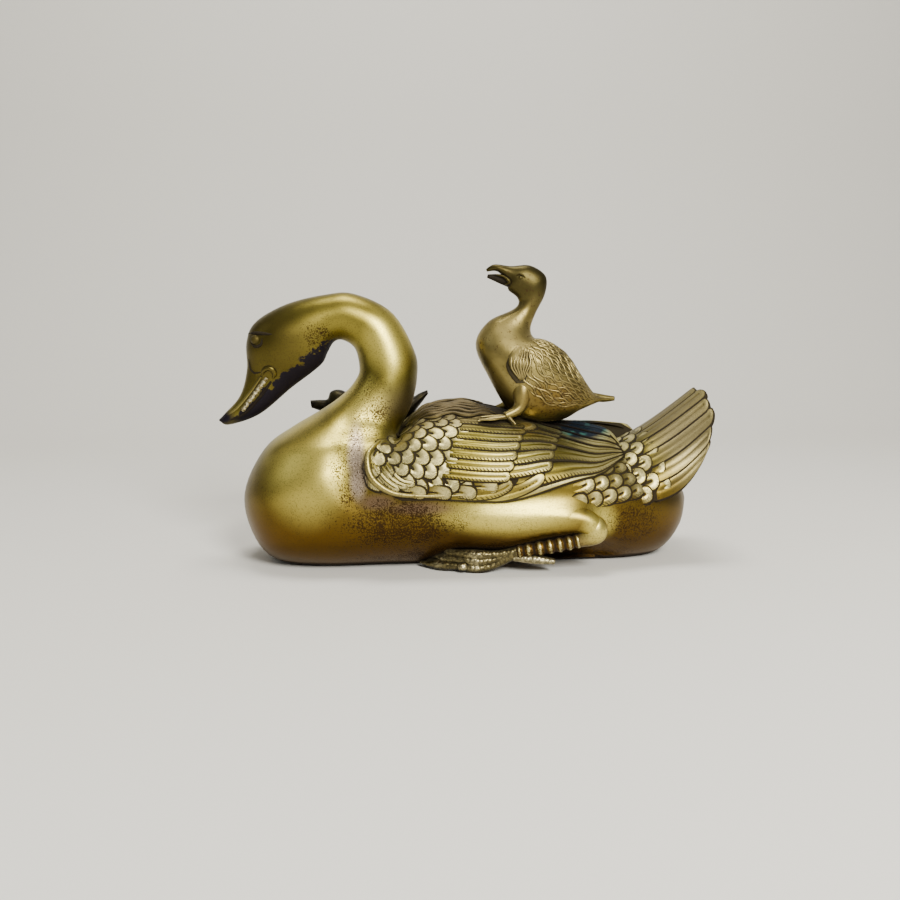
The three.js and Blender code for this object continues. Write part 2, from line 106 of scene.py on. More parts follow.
def softbox(name, place, size, watts, tint):
    data = bpy.data.lights.new(name, "AREA")
    data.shape = "RECTANGLE"
    data.size, data.size_y = size
    data.energy = watts
    data.color = tint
    lamp = bpy.data.objects.new(name, data)
    lamp.location = place
    lamp.rotation_euler = (lit_point - Vector(place)).to_track_quat("-Z", "Y").to_euler()
    bpy.context.scene.collection.objects.link(lamp)


softbox("window", (0.26, -0.90, 0.62), (0.32, 0.42), 18.0, (1.0, 0.98, 0.92))
softbox("ceiling", (0.0, 0.1, 1.2), (0.5, 0.4), 11, (1.0, 0.97, 0.92))
softbox("doorway", (-0.9, -0.3, 0.7), (0.5, 0.6), 0.7, (0.88, 0.94, 1.0))
world = bpy.data.worlds.new("room")
world.use_nodes = True
room_light = world.node_tree.nodes["Background"].inputs
room_light["Color"].default_value = (0.30, 0.29, 0.27, 1)
room_light["Strength"].default_value = 1.05
bpy.context.scene.world = world

# The mother's trunk: breast, belly, arched neck and head, cast hollow in brass in one pour with all
# that is carved on it. It is lofted through cuts, and a cut is an ellipse that grows squarer: its
# outer x and z, its inner x and z, half its width, its squareness, and where it is widest.
trunk_stations = np.array([
    [-125.7, 69.3, -124.8, 68.3, 1.8, 0.0, 0.5],   # bill tip
    [-122.8, 72.3, -120.4, 66.8, 4.8, 0.3, 0.5],
    [-115.1, 81.4, -105.8, 71.9, 6.8, 0.3, 0.5],
    [-111.7, 94.2, -90.4, 84.6, 8.8, 0.2, 0.5],   # bill base
    [-111.7, 107.5, -80.5, 92.0, 12.6, 0.1, 0.45],
    [-107.0, 117.4, -74.6, 97.2, 13.4, 0.1, 0.45],   # crown
    [-92.0, 126.0, -72.2, 102.2, 12.6, 0.0, 0.5],
    [-73.3, 130.6, -69.1, 107.3, 11.6, 0.0, 0.5],
    [-59.0, 131.0, -64.7, 108.2, 11.7, 0.0, 0.5],   # top of the arch
    [-40.4, 121.8, -58.8, 104.0, 12.6, 0.0, 0.5],
    [-29.1, 102.2, -56.7, 94.3, 14.2, 0.0, 0.5],
    [-28.1, 89.2, -58.4, 88.9, 15.2, 0.0, 0.5],
    [-30.7, 76.7, -63.9, 82.2, 17.2, 0.0, 0.5],
    [-35.0, 67.5, -73.9, 74.8, 21.0, 0.1, 0.5],   # root of the neck
    [-36.6, 63.8, -90.0, 65.3, 28.5, 0.4, 0.47],
    [-37.2, 62.2, -103.5, 55.0, 35.0, 0.8, 0.43],
    [-37.6, 61.4, -113.0, 36.0, 39.8, 1.0, 0.4],   # front of the breast
    [-37.6, 61.2, -111.5, 18.5, 41.8, 1.0, 0.38],
    [-37.2, 61.6, -101.0, 2.5, 42.8, 1.0, 0.37],   # under the breast
    [-34.0, 65.0, -78.0, -3.0, 43.8, 0.8, 0.4],
    [-26.0, 71.8, -46.0, -3.0, 44.8, 0.5, 0.45],   # shoulder
    [-4.0, 75.6, -6.0, -3.0, 45.2, 0.3, 0.47],
    [22.0, 70.6, 28.0, -3.0, 44.6, 0.3, 0.44],
    [48.0, 62.5, 54.0, -3.0, 41.5, 0.2, 0.42],
    [72.0, 54.0, 77.0, -3.0, 36.0, 0.1, 0.42],
    [89.0, 48.0, 93.5, 0.5, 28.0, 0.0, 0.45],
    [101.0, 40.0, 103.5, 11.0, 18.0, 0.0, 0.5],   # rump
    [107.6, 31.5, 108.2, 23.5, 6.0, 0.0, 0.5],
])
fan_station = 14.5
head_station = 9
outer_squareness, inner_squareness = 0.9, 0.35
trunk_sections, trunk_around = 150, 96
sharp_edge_degrees = 50


def read_table(rows, position):
    """Rows read smoothly between each other, at a position counted in rows."""
    rows, position = np.asarray(rows, float), np.asarray(position, float)
    last = len(rows) - 1
    start = np.clip(np.floor(position).astype(int), 0, last - 1)
    f = (position - start)[..., None]
    before, here = rows[np.maximum(start - 1, 0)], rows[start]
    after, beyond = rows[start + 1], rows[np.minimum(start + 2, last)]
    bend = (2 * before - 5 * here + 4 * after - beyond) * f ** 2
    return here + 0.5 * ((after - before) * f + bend + (3 * here - before - 3 * after + beyond) * f ** 3)


def trunk_skin(stations, station, angle):
    """The near skin, at an angle from the outer line (0) to the inner line (pi) of a cut."""
    cut = np.moveaxis(read_table(stations, station), -1, 0)
    outer_x, outer_z, inner_x, inner_z, half_width, square, widest = cut
    c = np.cos(angle)
    power = 2 / (2 + np.where(c > 0, outer_squareness, inner_squareness) * square)
    reach = np.abs(c) ** power
    along = np.where(c > 0, widest * (1 - reach), widest + (1 - widest) * reach)
    return np.stack([outer_x + (inner_x - outer_x) * along,
                     -half_width * np.abs(np.sin(angle)) ** power,
                     outer_z + (inner_z - outer_z) * along], -1)


def trunk_half_width(x, z, low=fan_station, high=len(trunk_stations) - 1.02, stations=trunk_stations):
    """Half the trunk's width behind the point x, z of the side view."""
    x, z = np.broadcast_arrays(np.asarray(x, float), np.asarray(z, float))
    low, high = np.full(x.shape, low, float), np.full(x.shape, high, float)
    for _ in range(18):
        half = (low + high) / 2
        cut = read_table(stations, half)
        ahead = ((cut[..., 2] - cut[..., 0]) * (z - cut[..., 1])
                 - (cut[..., 3] - cut[..., 1]) * (x - cut[..., 0])) > 0
        low, high = np.where(ahead, half, low), np.where(ahead, high, half)
    outer_x, outer_z, inner_x, inner_z, half_width, square, widest = np.moveaxis(
        read_table(stations, low), -1, 0)
    along = (((x - outer_x) * (inner_x - outer_x) + (z - outer_z) * (inner_z - outer_z))
             / ((inner_x - outer_x) ** 2 + (inner_z - outer_z) ** 2))
    reach = np.where(along < widest, 1 - along / widest, (along - widest) / (1 - widest))
    power = 2 / (2 + np.where(along < widest, outer_squareness, inner_squareness) * square)
    inside = np.sqrt(np.maximum(1 - np.clip(reach, 0, 1) ** (2 / power), 0)) ** power
    return np.where((along > 0) & (along < 1), half_width * inside, 0)


def smooth(x, low, high):
    """0 up to low and 1 from high, with soft ends."""
    t = np.clip((x - low) / (high - low), 0, 1)
    return t * t * (3 - 2 * t)


def shell(points, faces, feather=None, wear=0.0, finish=0):
    """A closed shell of one casting: its feather coordinates, its wear (-1 recess, 1 rubbed) and the
    number of its finish."""
    count = len(points)
    feather = np.zeros((count, 2)) if feather is None else feather
    return {"points": np.asarray(points, float), "faces": faces, "feather": feather, "finish": finish,
            "wear": np.broadcast_to(np.asarray(wear, float), (count,)).copy()}


def tube(rings, wear=0.0, finish=0):
    """Closed shell through rings of points, with a middle point on each end."""
    rings = np.asarray(rings, float)
    count, around = rings.shape[:2]
    points = np.vstack([rings.reshape(-1, 3), rings[0].mean(0), rings[-1].mean(0)])
    faces = []
    for i in range(count - 1):
        for k in range(around):
            a, b = i * around + k, i * around + (k + 1) % around
            faces.append((a, b, b + around, a + around))
    last = (count - 1) * around
    for k in range(around):
        faces.append((count * around, (k + 1) % around, k))
        faces.append((count * around + 1, last + k, last + (k + 1) % around))
    if np.ndim(wear):
        wear = np.append(np.asarray(wear).reshape(-1), [0, 0])
    return shell(points, faces, wear=wear, finish=finish)


def mirrored(part):
    return {**part, "points": part["points"] * [1, -1, 1], "faces": [f[::-1] for f in part["faces"]]}


def limb(path, radii, sections, sides, flatness=1.0, wear=0.0, finish=0):
    """Round limb along a smooth path. The radii are read along it, and flatness is height to width."""
    share = np.linspace(0, 1, sections)
    path = np.asarray(path, float)
    centre = read_table(path, share * (len(path) - 1))
    ahead = np.gradient(centre, axis=0)
    ahead /= np.linalg.norm(ahead, axis=1)[:, None]
    across = np.array([0, 1.0, 0]) - ahead * ahead[:, 1:2]
    across /= np.linalg.norm(across, axis=1)[:, None]
    up = np.cross(across, ahead)
    radius = read_table(np.asarray(radii, float)[:, None], share * (len(radii) - 1))
    turn = 2 * math.pi * (np.arange(sides) + 0.5) / sides
    rings = centre[:, None] + radius[:, None] * (across[:, None] * np.cos(turn)[None, :, None]
                                                 + flatness * up[:, None] * np.sin(turn)[None, :, None])
    if np.ndim(wear):
        wear = np.repeat(np.interp(share, np.linspace(0, 1, len(wear)), wear), sides)
    return tube(rings, wear, finish)


def ball(centre, radii, around=20, rows=12, wear=0.0, finish=0):
    polar = np.linspace(0.12, math.pi - 0.12, rows)[:, None]
    turn = np.linspace(0, 2 * math.pi, around, endpoint=False)[None, :]
    rings = np.stack([np.sin(polar) * np.cos(turn), np.sin(polar) * np.sin(turn),
                      np.cos(polar) + 0 * turn], -1)
    return tube(np.asarray(centre) + rings * np.asarray(radii), wear, finish)


# Legs folded along the flanks, cast with the body: a thigh that swells out of the flank, the hock, the
# ringed shank and a webbed foot that lies on its side beside the belly.
thigh_path = [(-34, -27, 27), (-9, -33, 25.5), (11, -34.5, 24.5), (31, -38, 25.5), (46, -42, 25),
              (53, -43, 21)]
hock_radius = 5.8
thigh_radii = [4, 11.5, 13, 9.5, 6.6, hock_radius]
shank_radius, shank_rings, toe_radius = 3.1, 10, 2.2
ankle = (16.5, -39.5, 9.6)
foot_finish = 1
shank_path = [(52.5, -43.2, 18.4), (45, -43.3, 15.6), (31, -42.2, 12.6), ankle]
foot_heights = [2.3, 5.3, 8.2]
swell_end, swell_sink = 0.84, 4.0
swell_fades_from, swell_gone_at = 31, 41
union_softness, undercut = 9.0, 0.26
valley_reach = 8.0


def flank_swell(points):
    """The trunk's skin pushed out so that the thigh's upper side flows into the flank. The swell is a
    rounded hill across the limb, and the flank is cut in below it."""
    share = np.linspace(0, swell_end, 60)
    centre = read_table(thigh_path, share * (len(thigh_path) - 1))
    radius = read_table(np.array(thigh_radii, float)[:, None], share * (len(thigh_radii) - 1))[:, 0]
    flat = points.reshape(-1, 3)
    near = (np.abs(flat[:, 0] - 10) < 75) & (flat[:, 2] > 3) & (flat[:, 2] < 48)
    side = flat[near]
    x, z = side[:, 0], side[:, 2]
    reach = np.hypot(x[:, None] - centre[:, 0], z[:, None] - centre[:, 2]) / radius
    hill = 1.25 * np.exp(-0.75 * reach ** 2) - 0.25 - 0.8 * np.maximum(reach - 0.8, 0) ** 2
    bulge = np.abs(centre[:, 1]) - swell_sink * smooth(share, 0.7, swell_end) + radius * hill
    best = bulge.argmax(1)
    bulge = bulge.max(1)
    below = np.exp(-((x - 27) / 36) ** 4 - ((z - 6) / 6.5) ** 2)
    width = np.abs(side[:, 1]) * (1 - undercut * below)
    above_limb = smooth(z, centre[best, 2] - 0.9 * radius[best], centre[best, 2])
    softness = union_softness * (0.25 + 0.75 * above_limb)
    gap = np.clip(0.5 + 0.5 * (bulge - width) / softness, 0, 1)
    union = width + (bulge - width) * gap + softness * gap * (1 - gap)
    shown = 1 - smooth(z, swell_fades_from, swell_gone_at)
    side[:, 1] = np.sign(side[:, 1]) * (width + (union - width) * shown)
    flat[near] = side
    return flat.reshape(points.shape)


def wing_valley(points):
    """A shallow hollow just outside the wing's front and lower rim, where the breast turns in."""
    line = [(-44, 80), (-52, 71), (-59, 62), (-62, 52), (-60.5, 42), (-54, 34.5), (-42, 31.5), (-20, 32),
            (0, 33)]
    depth = [0.8, 2.0, 3.0, 3.4, 3.4, 3.0, 2.2, 1.0, 0.0]
    steps = np.linspace(0, len(line) - 1, 90)
    centre = read_table(line, steps)
    depth = np.interp(steps, np.arange(len(depth)), depth)
    away = np.hypot(points[..., None, 0] - centre[:, 0], points[..., None, 2] - centre[:, 1])
    hollow = (depth * np.exp(-(away / valley_reach) ** 2)).max(-1)
    width = np.abs(points[..., 1])
    points[..., 1] -= np.sign(points[..., 1]) * hollow * smooth(width, 8, 24)
    return points


def trunk_shell(stations, sections, around, swell=False):
    """A closed body through the cuts of a table of stations."""
    station = np.linspace(0, len(stations) - 1, sections)[:, None]
    turn = np.linspace(0, 2 * math.pi, around, endpoint=False)[None, :]
    near = turn <= math.pi
    skin = trunk_skin(stations, station + 0 * turn, np.where(near, turn, 2 * math.pi - turn) + 0 * station)
    skin[..., 1] *= np.where(near, 1, -1)
    return tube(wing_valley(flank_swell(skin)) if swell else skin)


def strap(lower, upper, thickness):
    """A web between two lines of points, with its two faces along Y."""
    out = np.array([0, thickness / 2, 0])
    rings = np.stack([lower - out, upper - out, upper + out, lower + out], 1)
    return tube(rings, wear=-0.3, finish=foot_finish)


sunk_in_flank = [1, 3, 0.8, 0.3, 0, 0.4]
thigh = limb(thigh_path, np.array(thigh_radii) - sunk_in_flank, 36, 28)
hock = limb([thigh_path[-1], shank_path[0], shank_path[1]], [hock_radius - 2, 5.0, 3.4], 16, 20, wear=0.3)
hock_knob = ball((52.8, -43, 20.4), (6.1, 5.7, 6.9), 26, 18, wear=0.3)
raised = [k % 2 == 1 for k in range(2 * shank_rings + 1)]
shank = limb(shank_path, [shank_radius + (0.55 if ring else -0.35) for ring in raised], 6 * shank_rings, 18,
             wear=[0.9 if ring else -1.0 for ring in raised])
toe_lines = [[ankle, (2, -38.5, z), (-12, -36.5 + k, z + 0.4), (-22 + 3 * k, -31 + k, z + 0.3),
              (-28 + 4 * k, -26 + k, z)] for k, z in enumerate(foot_heights)]
toe_joints = [2.9, 2.0, toe_radius + 0.5, 1.7, toe_radius + 0.3, 1.5, 0.7]
joint_wear = [0.0, -0.3, 0.5, -0.3, 0.5, 0, 0.6]
web_thickness, web_end = 1.2, 3.7
foot = [limb(line, toe_joints, 34, 12, wear=joint_wear, finish=foot_finish) for line in toe_lines]
web_lines = [read_table(line, np.linspace(0, web_end, 20)) for line in toe_lines]
foot += [strap(lower, upper, web_thickness) for lower, upper in zip(web_lines, web_lines[1:])]
foot.append(ball((-9, -39.2, 3.0), (2.4, 1.9, 2.1), wear=0.9, finish=foot_finish))
hind_toe = [(15, -39.5, 7.2), (25, -41.5, 6.6), (34, -42, 5.4)]
foot.append(limb(hind_toe, [2.2, 2.8, 1.7], 18, 14, 0.8, wear=0.6, finish=foot_finish))
leg_parts = [thigh, hock, hock_knob, shank, *foot]
mother_parts = [trunk_shell(trunk_stations, trunk_sections, trunk_around, swell=True)]

# The wings: two shells proud of the flanks, cast with the body. A place on a wing is x along the body and
# v from its upper edge (0) to its lower rim (1), and the skin under it is looked up on rays from a line
# in the body.
wing_front, wing_back, wrist_level = -55.5, 77.0, 0.77
shoulder_setback, front_curl = 18.5, 340
wing_lift, tip_rise, rim_thickness = 2.0, 8.5, 6.0
axis_height = 37.0
ray_step = 1.5
far_wing_extra = 21.0
far_rim_height, far_rim_fall, far_rim_press = 65.6, 0.07, 0.8


def rim_angle(x):
    """Degrees from straight up to the wing's lower rim, which climbs towards the blade."""
    return 91 - 14 * smooth(x, 5, 55) - 29 * np.maximum(0, (x - 50) / 26) ** 2


def upper_angle(x):
    """Degrees from straight up to the wing's upper edge."""
    return 4 + 30 * smooth(x, 25, 60) + 10 * smooth(x, 60, wing_back)


def front_edge(v):
    """The wing's front in x: it stands back at the shoulder and curls under from the wrist."""
    wrist = wing_front + shoulder_setback * (1 - smooth(v, wrist_level - 0.4, wrist_level))
    return np.where(v < wrist_level, wrist, wing_front + front_curl * (v - wrist_level) ** 2)


def back_edge(v):
    return wing_back - 9 * (1 - v) ** 2 - 5 * v ** 2


# The body's skin under the wings is looked up once, on rays over a grid of x and angle, by halving each
# ray's reach again and again.
chart_x = np.arange(-62.0, 96.0, 1.0)
chart_angle = np.arange(-8.0, 100.0, ray_step)
grid_x, grid_angle = np.meshgrid(chart_x, np.radians(chart_angle), indexing="ij")
inside_radius, outside_radius = np.zeros(grid_x.shape), np.full(grid_x.shape, 75.0)
for _ in range(16):
    half_radius = (inside_radius + outside_radius) / 2
    behind = trunk_half_width(grid_x, axis_height + half_radius * np.cos(grid_angle))
    within = half_radius * np.abs(np.sin(grid_angle)) < behind
    inside_radius = np.where(within, half_radius, inside_radius)
    outside_radius = np.where(within, outside_radius, half_radius)


def body_skin(x, angle, lift):
    """The trunk's near skin at x on the ray at an angle from straight up, and lift above it."""
    across = np.clip((x - chart_x[0]), 0, len(chart_x) - 1.001)
    upward = np.clip((angle - chart_angle[0]) / ray_step, 0, len(chart_angle) - 1.001)
    i, j = across.astype(int), upward.astype(int)
    fi, fj = across - i, upward - j
    low = inside_radius[i, j] * (1 - fi) + inside_radius[i + 1, j] * fi
    high = inside_radius[i, j + 1] * (1 - fi) + inside_radius[i + 1, j + 1] * fi
    radius = low * (1 - fj) + high * fj + lift
    turn = np.radians(angle)
    return np.stack([x + 0 * radius, -radius * np.sin(turn), axis_height + radius * np.cos(turn)], -1)


def wing_girth(x):
    """Millimetres of skin from the upper edge to the rim."""
    return 60 - 36 * smooth(x, 0, 75)


def wing_skin(x, v, lift):
    x, v, lift = np.broadcast_arrays(x, v, lift)
    angle = upper_angle(x) + (rim_angle(x) - upper_angle(x)) * v
    blade_rise = tip_rise * smooth(x, 32, 62) * np.clip(1 - v, 0, 1) ** 1.3 * (1 - 0.7 * smooth(x, 64, 76))
    return body_skin(x, angle, lift + blade_rise)


def slab(top, bottom, wear):
    """Closed plate between two grids of the same shape, flat below."""
    rows, columns = top.shape[:2]
    count = rows * columns
    faces = []
    for i in range(rows - 1):
        for j in range(columns - 1):
            a = i * columns + j
            faces.append((a, a + 1, a + columns + 1, a + columns))
            faces.append((count + a, count + a + columns, count + a + columns + 1, count + a + 1))
    rim = rim_of(rows, columns)
    for a, b in zip(rim, rim[1:] + rim[:1]):
        faces.append((b, a, count + a, count + b))
    points = np.vstack([top.reshape(-1, 3), bottom.reshape(-1, 3)])
    return shell(points, faces, wear=wear)


def rim_of(rows, columns):
    rim = [(0, j) for j in range(columns)] + [(i, columns - 1) for i in range(1, rows)]
    rim += [(rows - 1, j) for j in range(columns - 2, -1, -1)] + [(i, 0) for i in range(rows - 2, 0, -1)]
    return [i * columns + j for i, j in rim]


feather_rings = np.array([0.07, 0.18, 0.5, 0.72, 0.81, 0.86, 1])
tip_turns = np.radians(np.linspace(-78, 78, 9))
border_from, edge_from = 0.8, 0.97
edge_drop, base_sink, sunk_depth, barb_slant = 0.45, 0.6, 1.6, 0.9
path_step = 0.01


def feather(chart, path, width, lift=1.0, rounding=0.5, crown=0.2, groove=0.45, groove_from=0.18,
            groove_to=0.5, slant=0.0, tilt=0.0, rows=6, base_width=0.75, widest=0.5, rise=0.75,
            rubbed=0.6, hatched=True):
    """One carved feather on a chart. Its path runs from the base to the tip in the chart's own
    coordinates, and its rings run up one side, round the tip and back. It rises from under its
    neighbours to lift at the tip, its edge drops all round, and a groove slants along its middle.
    tilt raises its lower edge, and a small rise lifts it near its base."""
    skin, ground, millimetres = chart
    path = np.asarray(path, float)
    core = 1 - rounding
    straight = np.linspace(0, core, rows)
    outline_s = np.concatenate([straight, core + rounding * np.cos(tip_turns), straight[::-1]])
    outline_t = np.concatenate([-np.ones(rows), np.sin(tip_turns), np.ones(rows)])
    count = len(outline_s)
    ring = feather_rings[:, None]
    from_core = np.minimum(outline_s, core)
    s = np.concatenate([straight, (from_core + ring * (outline_s - from_core)).reshape(-1)])
    t = np.concatenate([np.zeros(rows), (ring * outline_t).reshape(-1)])
    outward = np.concatenate([np.zeros(rows), np.repeat(feather_rings, count)])
    centre = read_table(path, s * (len(path) - 1))
    size = np.stack(millimetres(centre[:, 0], centre[:, 1]), -1)
    last = len(path) - 1
    ahead = (read_table(path, (s + path_step) * last) - read_table(path, (s - path_step) * last)) * size
    length = float(np.mean(np.linalg.norm(ahead, axis=1))) / (2 * path_step)
    ahead /= np.linalg.norm(ahead, axis=1)[:, None]
    half = 0.5 * width * (base_width + (1 - base_width) * smooth(s, 0, widest))
    edge, border = outward > edge_from, outward > border_from
    grooved = smooth(s, groove_from - 0.08, groove_from) * (1 - smooth(s, groove_to, groove_to + 0.08))
    middle = slant * (s - groove_from) * (1 - outward)
    places = centre + np.stack([-ahead[:, 1], ahead[:, 0]], -1) * ((t + middle) * half)[:, None] / size
    on_groove = (outward < 0.1) * grooved
    height = (ground + (lift + base_sink) * s ** rise - base_sink + crown * (1 - outward ** 2) + tilt * t
              - edge_drop * edge * np.where((t > 0) & (tilt > 0), 0.4, 1) - groove * on_groove)
    top = skin(places[:, 0], places[:, 1], height)
    middle_of = np.minimum(np.minimum(np.arange(count), count - 1 - np.arange(count)), rows - 1)
    lines = [middle_of.tolist()] + [(rows + k * count + np.arange(count)).tolist() for k in range(len(ring))]
    faces = []
    for inner, outer in zip(lines, lines[1:]):
        for k in range(count - 1):
            corners = [inner[k], outer[k], outer[k + 1], inner[k + 1]]
            faces.append(tuple(corners[:3] if corners[0] == corners[3] else corners))
    loop = lines[-1] + [line[-1] for line in lines[-2:0:-1]] + [0] + [line[0] for line in lines[1:-1]]
    bottom = skin(places[loop, 0], places[loop, 1], -sunk_depth)
    under = len(s) + np.arange(len(loop))
    for k in range(len(loop)):
        after = (k + 1) % len(loop)
        faces.append((int(under[k]), int(under[after]), loop[after], loop[k]))
    faces.append(tuple(int(v) for v in under[::-1]))
    steps = np.hypot(np.diff(outline_s) * length, np.diff(outline_t) * width / 2)
    travelled = np.concatenate([[0], np.cumsum(steps)])
    from_tip = np.abs(travelled - travelled[-1] / 2)
    barb = np.tile(from_tip, len(ring)) + barb_slant * np.abs(t[rows:]) * width / 2
    phase = np.concatenate([np.zeros(rows), barb])
    reach = np.where(t > -0.3, outward, outward * 0.5) * hatched
    rub = (0.1 + rubbed * smooth(s, 0.15, 0.8)) * (1 - 0.5 * outward ** 2)
    wear = np.where(border, -1.0, rub - 2.6 * groove * on_groove)
    coordinates = np.vstack([np.stack([phase, reach], -1), np.zeros((len(loop), 2))])
    wear = np.concatenate([wear, np.full(len(loop), -1.0)])
    return shell(np.vstack([top, bottom]), faces, coordinates, wear)


wing_chart = (wing_skin, wing_lift - 0.5, lambda x, v: (np.ones_like(x), wing_girth(x)))


def wing_shell():
    """The plain wing under the feathers, dark where it shows between them."""
    along, v = np.meshgrid(np.linspace(0, 1, 56), np.linspace(0, 1, 22), indexing="ij")
    x = front_edge(v) + (back_edge(v) - front_edge(v)) * along
    top = wing_skin(x, v, wing_lift - 0.5)
    under = body_skin(x, upper_angle(x) + (rim_angle(x) - upper_angle(x)) * v, -rim_thickness)
    hidden = np.maximum(smooth(v, 0.45, 0.6), smooth(x, -42, -30))
    return slab(top, under, wear=np.tile(-0.8 * hidden.reshape(-1), 2))


def on_wing(places, lift):
    """Points of the wing's skin at pairs of x and v."""
    places = np.asarray(places, float)
    return wing_skin(places[:, 0], places[:, 1], lift)


def wing_feather(x, v, length, width, aim, bend=0.0, **shape):
    """A feather with its tip at x and v. aim turns the tip towards the rim, in degrees, and the base
    stays inside the wing's front edge."""
    turn, base_turn = math.radians(aim), math.radians(aim - bend)
    middle = [x - 0.5 * length * math.cos(turn), v - 0.5 * length * math.sin(turn) / wing_girth(x)]
    base = [middle[0] - 0.5 * length * math.cos(base_turn),
            middle[1] - 0.5 * length * math.sin(base_turn) / wing_girth(middle[0])]
    for joint in (base, middle):
        joint[0] = max(joint[0], float(front_edge(joint[1])) + 1.8)
    return feather(wing_chart, [base, middle, (x, v)], width, **shape)


def wing_carving(dice):
    """Small scales on the shoulder, larger ones over the wrist, then three ranks of long feathers."""
    made = []
    long_feather = {"rows": 13, "rounding": 0.12, "rise": 0.3, "groove": 0.22, "groove_from": 0.08,
                    "groove_to": 0.86, "base_width": 0.97, "tilt": 0.25, "rubbed": 0.32}
    primary = {**long_feather, "rows": 16, "tilt": 0.6, "base_width": 1.7, "rubbed": 0.6, "widest": 0.9}
    for k in range(6):
        v = 0.08 + 0.165 * k
        tip = float(back_edge(v)) - 0.5 - 0.6 * (5 - k)
        made.append(feather(wing_chart, [(14, v ** 1.1), (36, v ** 1.04), (56, v), (tip, v)], 5.4,
                            lift=0.7 + 0.06 * k, hatched=k > 3, **primary))
    for k in range(6):
        v = 0.40 + 0.088 * k
        made.append(wing_feather(41 - 1.6 * k, v, 36, 5.4, aim=1, bend=-4, lift=0.8, **long_feather))
    made.append(feather(wing_chart, [(-26, 0.94), (10, 0.965), (44, 0.955), (71, 0.90)], 7.0, lift=0.35,
                        **{**long_feather, "hatched": False, "rows": 16, "rubbed": 0.95}))
    made.append(feather(wing_chart, [(4, 0.975), (14, 0.965), (22, 0.945), (29, 0.915)], 5.6, lift=0.9,
                        **{**long_feather, "hatched": False, "rounding": 0.25}))
    for k in range(7):
        v = 0.455 + 0.067 * k
        tip = 22 - 1.9 * max(k - 1, 0)
        made.append(wing_feather(tip, v, 33, 4.7, aim=2, bend=-4, lift=1.05, **long_feather))
    made.append(feather(wing_chart, [(-9, 0.97), (2, 0.96), (9, 0.93), (13, 0.895)], 5.0, lift=1.1,
                        **{**long_feather, "rounding": 0.2}))
    made.append(wing_feather(29, 0.44, 24, 8.5, aim=-2, lift=1.2, rounding=0.3, rows=8, crown=0.3))
    made.append(wing_feather(11, 0.40, 16, 7.0, aim=0, lift=1.3, rounding=0.35, crown=0.4))
    for x, v in [(-26, 0.955), (-14.5, 0.96), (-3, 0.96), (7, 0.925)]:
        made.append(wing_feather(x, v, 15, 6.4, aim=8, bend=12, rounding=0.3, lift=0.9, slant=0.3))
    for k in range(3):
        path = [(-52 + 2.6 * k, 0.66), (-50 + 2.9 * k, 0.77), (-45 + 3.2 * k, 0.87),
                (-38.5 + 3.6 * k, 0.935 - 0.02 * k)]
        made.append(feather(wing_chart, path, 3.2, lift=0.5, rounding=0.15, rise=0.3, rows=10,
                            groove=0.25, groove_from=0.2, groove_to=0.9))
    for column in range(10):
        for lane in range(8):
            x = -47.5 + 6.7 * column + 3.3 * (lane % 2) + dice.uniform(-0.8, 0.8)
            v = 0.27 + 0.094 * lane + dice.uniform(-0.01, 0.01)
            size = 7.0 + 2.0 * smooth(v, 0.3, 0.6) + dice.uniform(-0.6, 0.9)
            if front_edge(v - 0.03) + 3.5 < x < 2 - 8 * abs(v - 0.62):
                aim = 36 - 0.5 * (x + 48) + dice.uniform(-9, 9)
                made.append(wing_feather(x, v, 1.35 * size, size, aim=aim, slant=0.5, lift=0.5, crown=0.15,
                                         rounding=0.55, rubbed=0.95, base_width=0.55))
    return made


def shoulder_tufts():
    """Wavy tufts of down where the wing meets the back."""
    tufts = []
    for k in range(6):
        v = 0.03 + 0.058 * k
        start = -36 + 2.0 * k
        places = [(start + 4.6 * i, v + 0.026 * math.sin(1.7 * i + 1.3 * k) + 0.004 * i) for i in range(9)]
        tufts.append(limb(on_wing(places, wing_lift + 0.2), [0.4, 1.6, 1.1, 1.7, 1.2, 1.5, 0.4], 40, 8, 0.7))
    return tufts


rim_places = [(-47.2, 0.55), (-50.6, 0.62), (-53.2, 0.7), (-52.2, 0.82), (-47.6, 0.9), (-39.5, 0.955),
              (-24, 0.97), (-6, 0.965)]
rim_radii = [0.5, 1.1, 1.5, 1.7, 1.6, 1.2, 0.8, 0.3]
wing_rim = limb(on_wing(rim_places, wing_lift - 0.3), rim_radii, 60, 12, wear=0.35)
blade_places = [(34, 0.02), (44, 0.0), (54, 0.0), (64, 0.02), (70, 0.1)]
blade_rim = limb(on_wing(blade_places, wing_lift - 0.2), [0.3, 0.9, 1.2, 1.1, 0.4], 30, 10, wear=0.5)
near_wing = [wing_shell(), wing_rim, blade_rim, *shoulder_tufts(), *wing_carving(np.random.default_rng(7))]


def longer(part):
    """The far wing's blade is longer than the near one's, and its upper rim runs straight to the tail."""
    points = part["points"].copy()
    points[:, 0] += far_wing_extra * smooth(points[:, 0], 15, wing_back + 8)
    straight_rim = far_rim_height - far_rim_fall * (points[:, 0] - 45)
    proud = np.maximum(points[:, 2] - straight_rim, 0) * smooth(points[:, 0], 30, 45)
    points[:, 2] -= far_rim_press * proud
    return {**part, "points": points}


far_wing = [longer(mirrored(part)) for part in near_wing]

# The tail: one arched sheet, cast with the body, from a skirt over the rump to a raised fan, with scales
# over its root and long quills to its edge. A place on it is t from the root (0) to the edge (1) and a
# from one side (-1) to the other.
tail_thickness = 2.0
quill_count, covert_rows = 11, 6


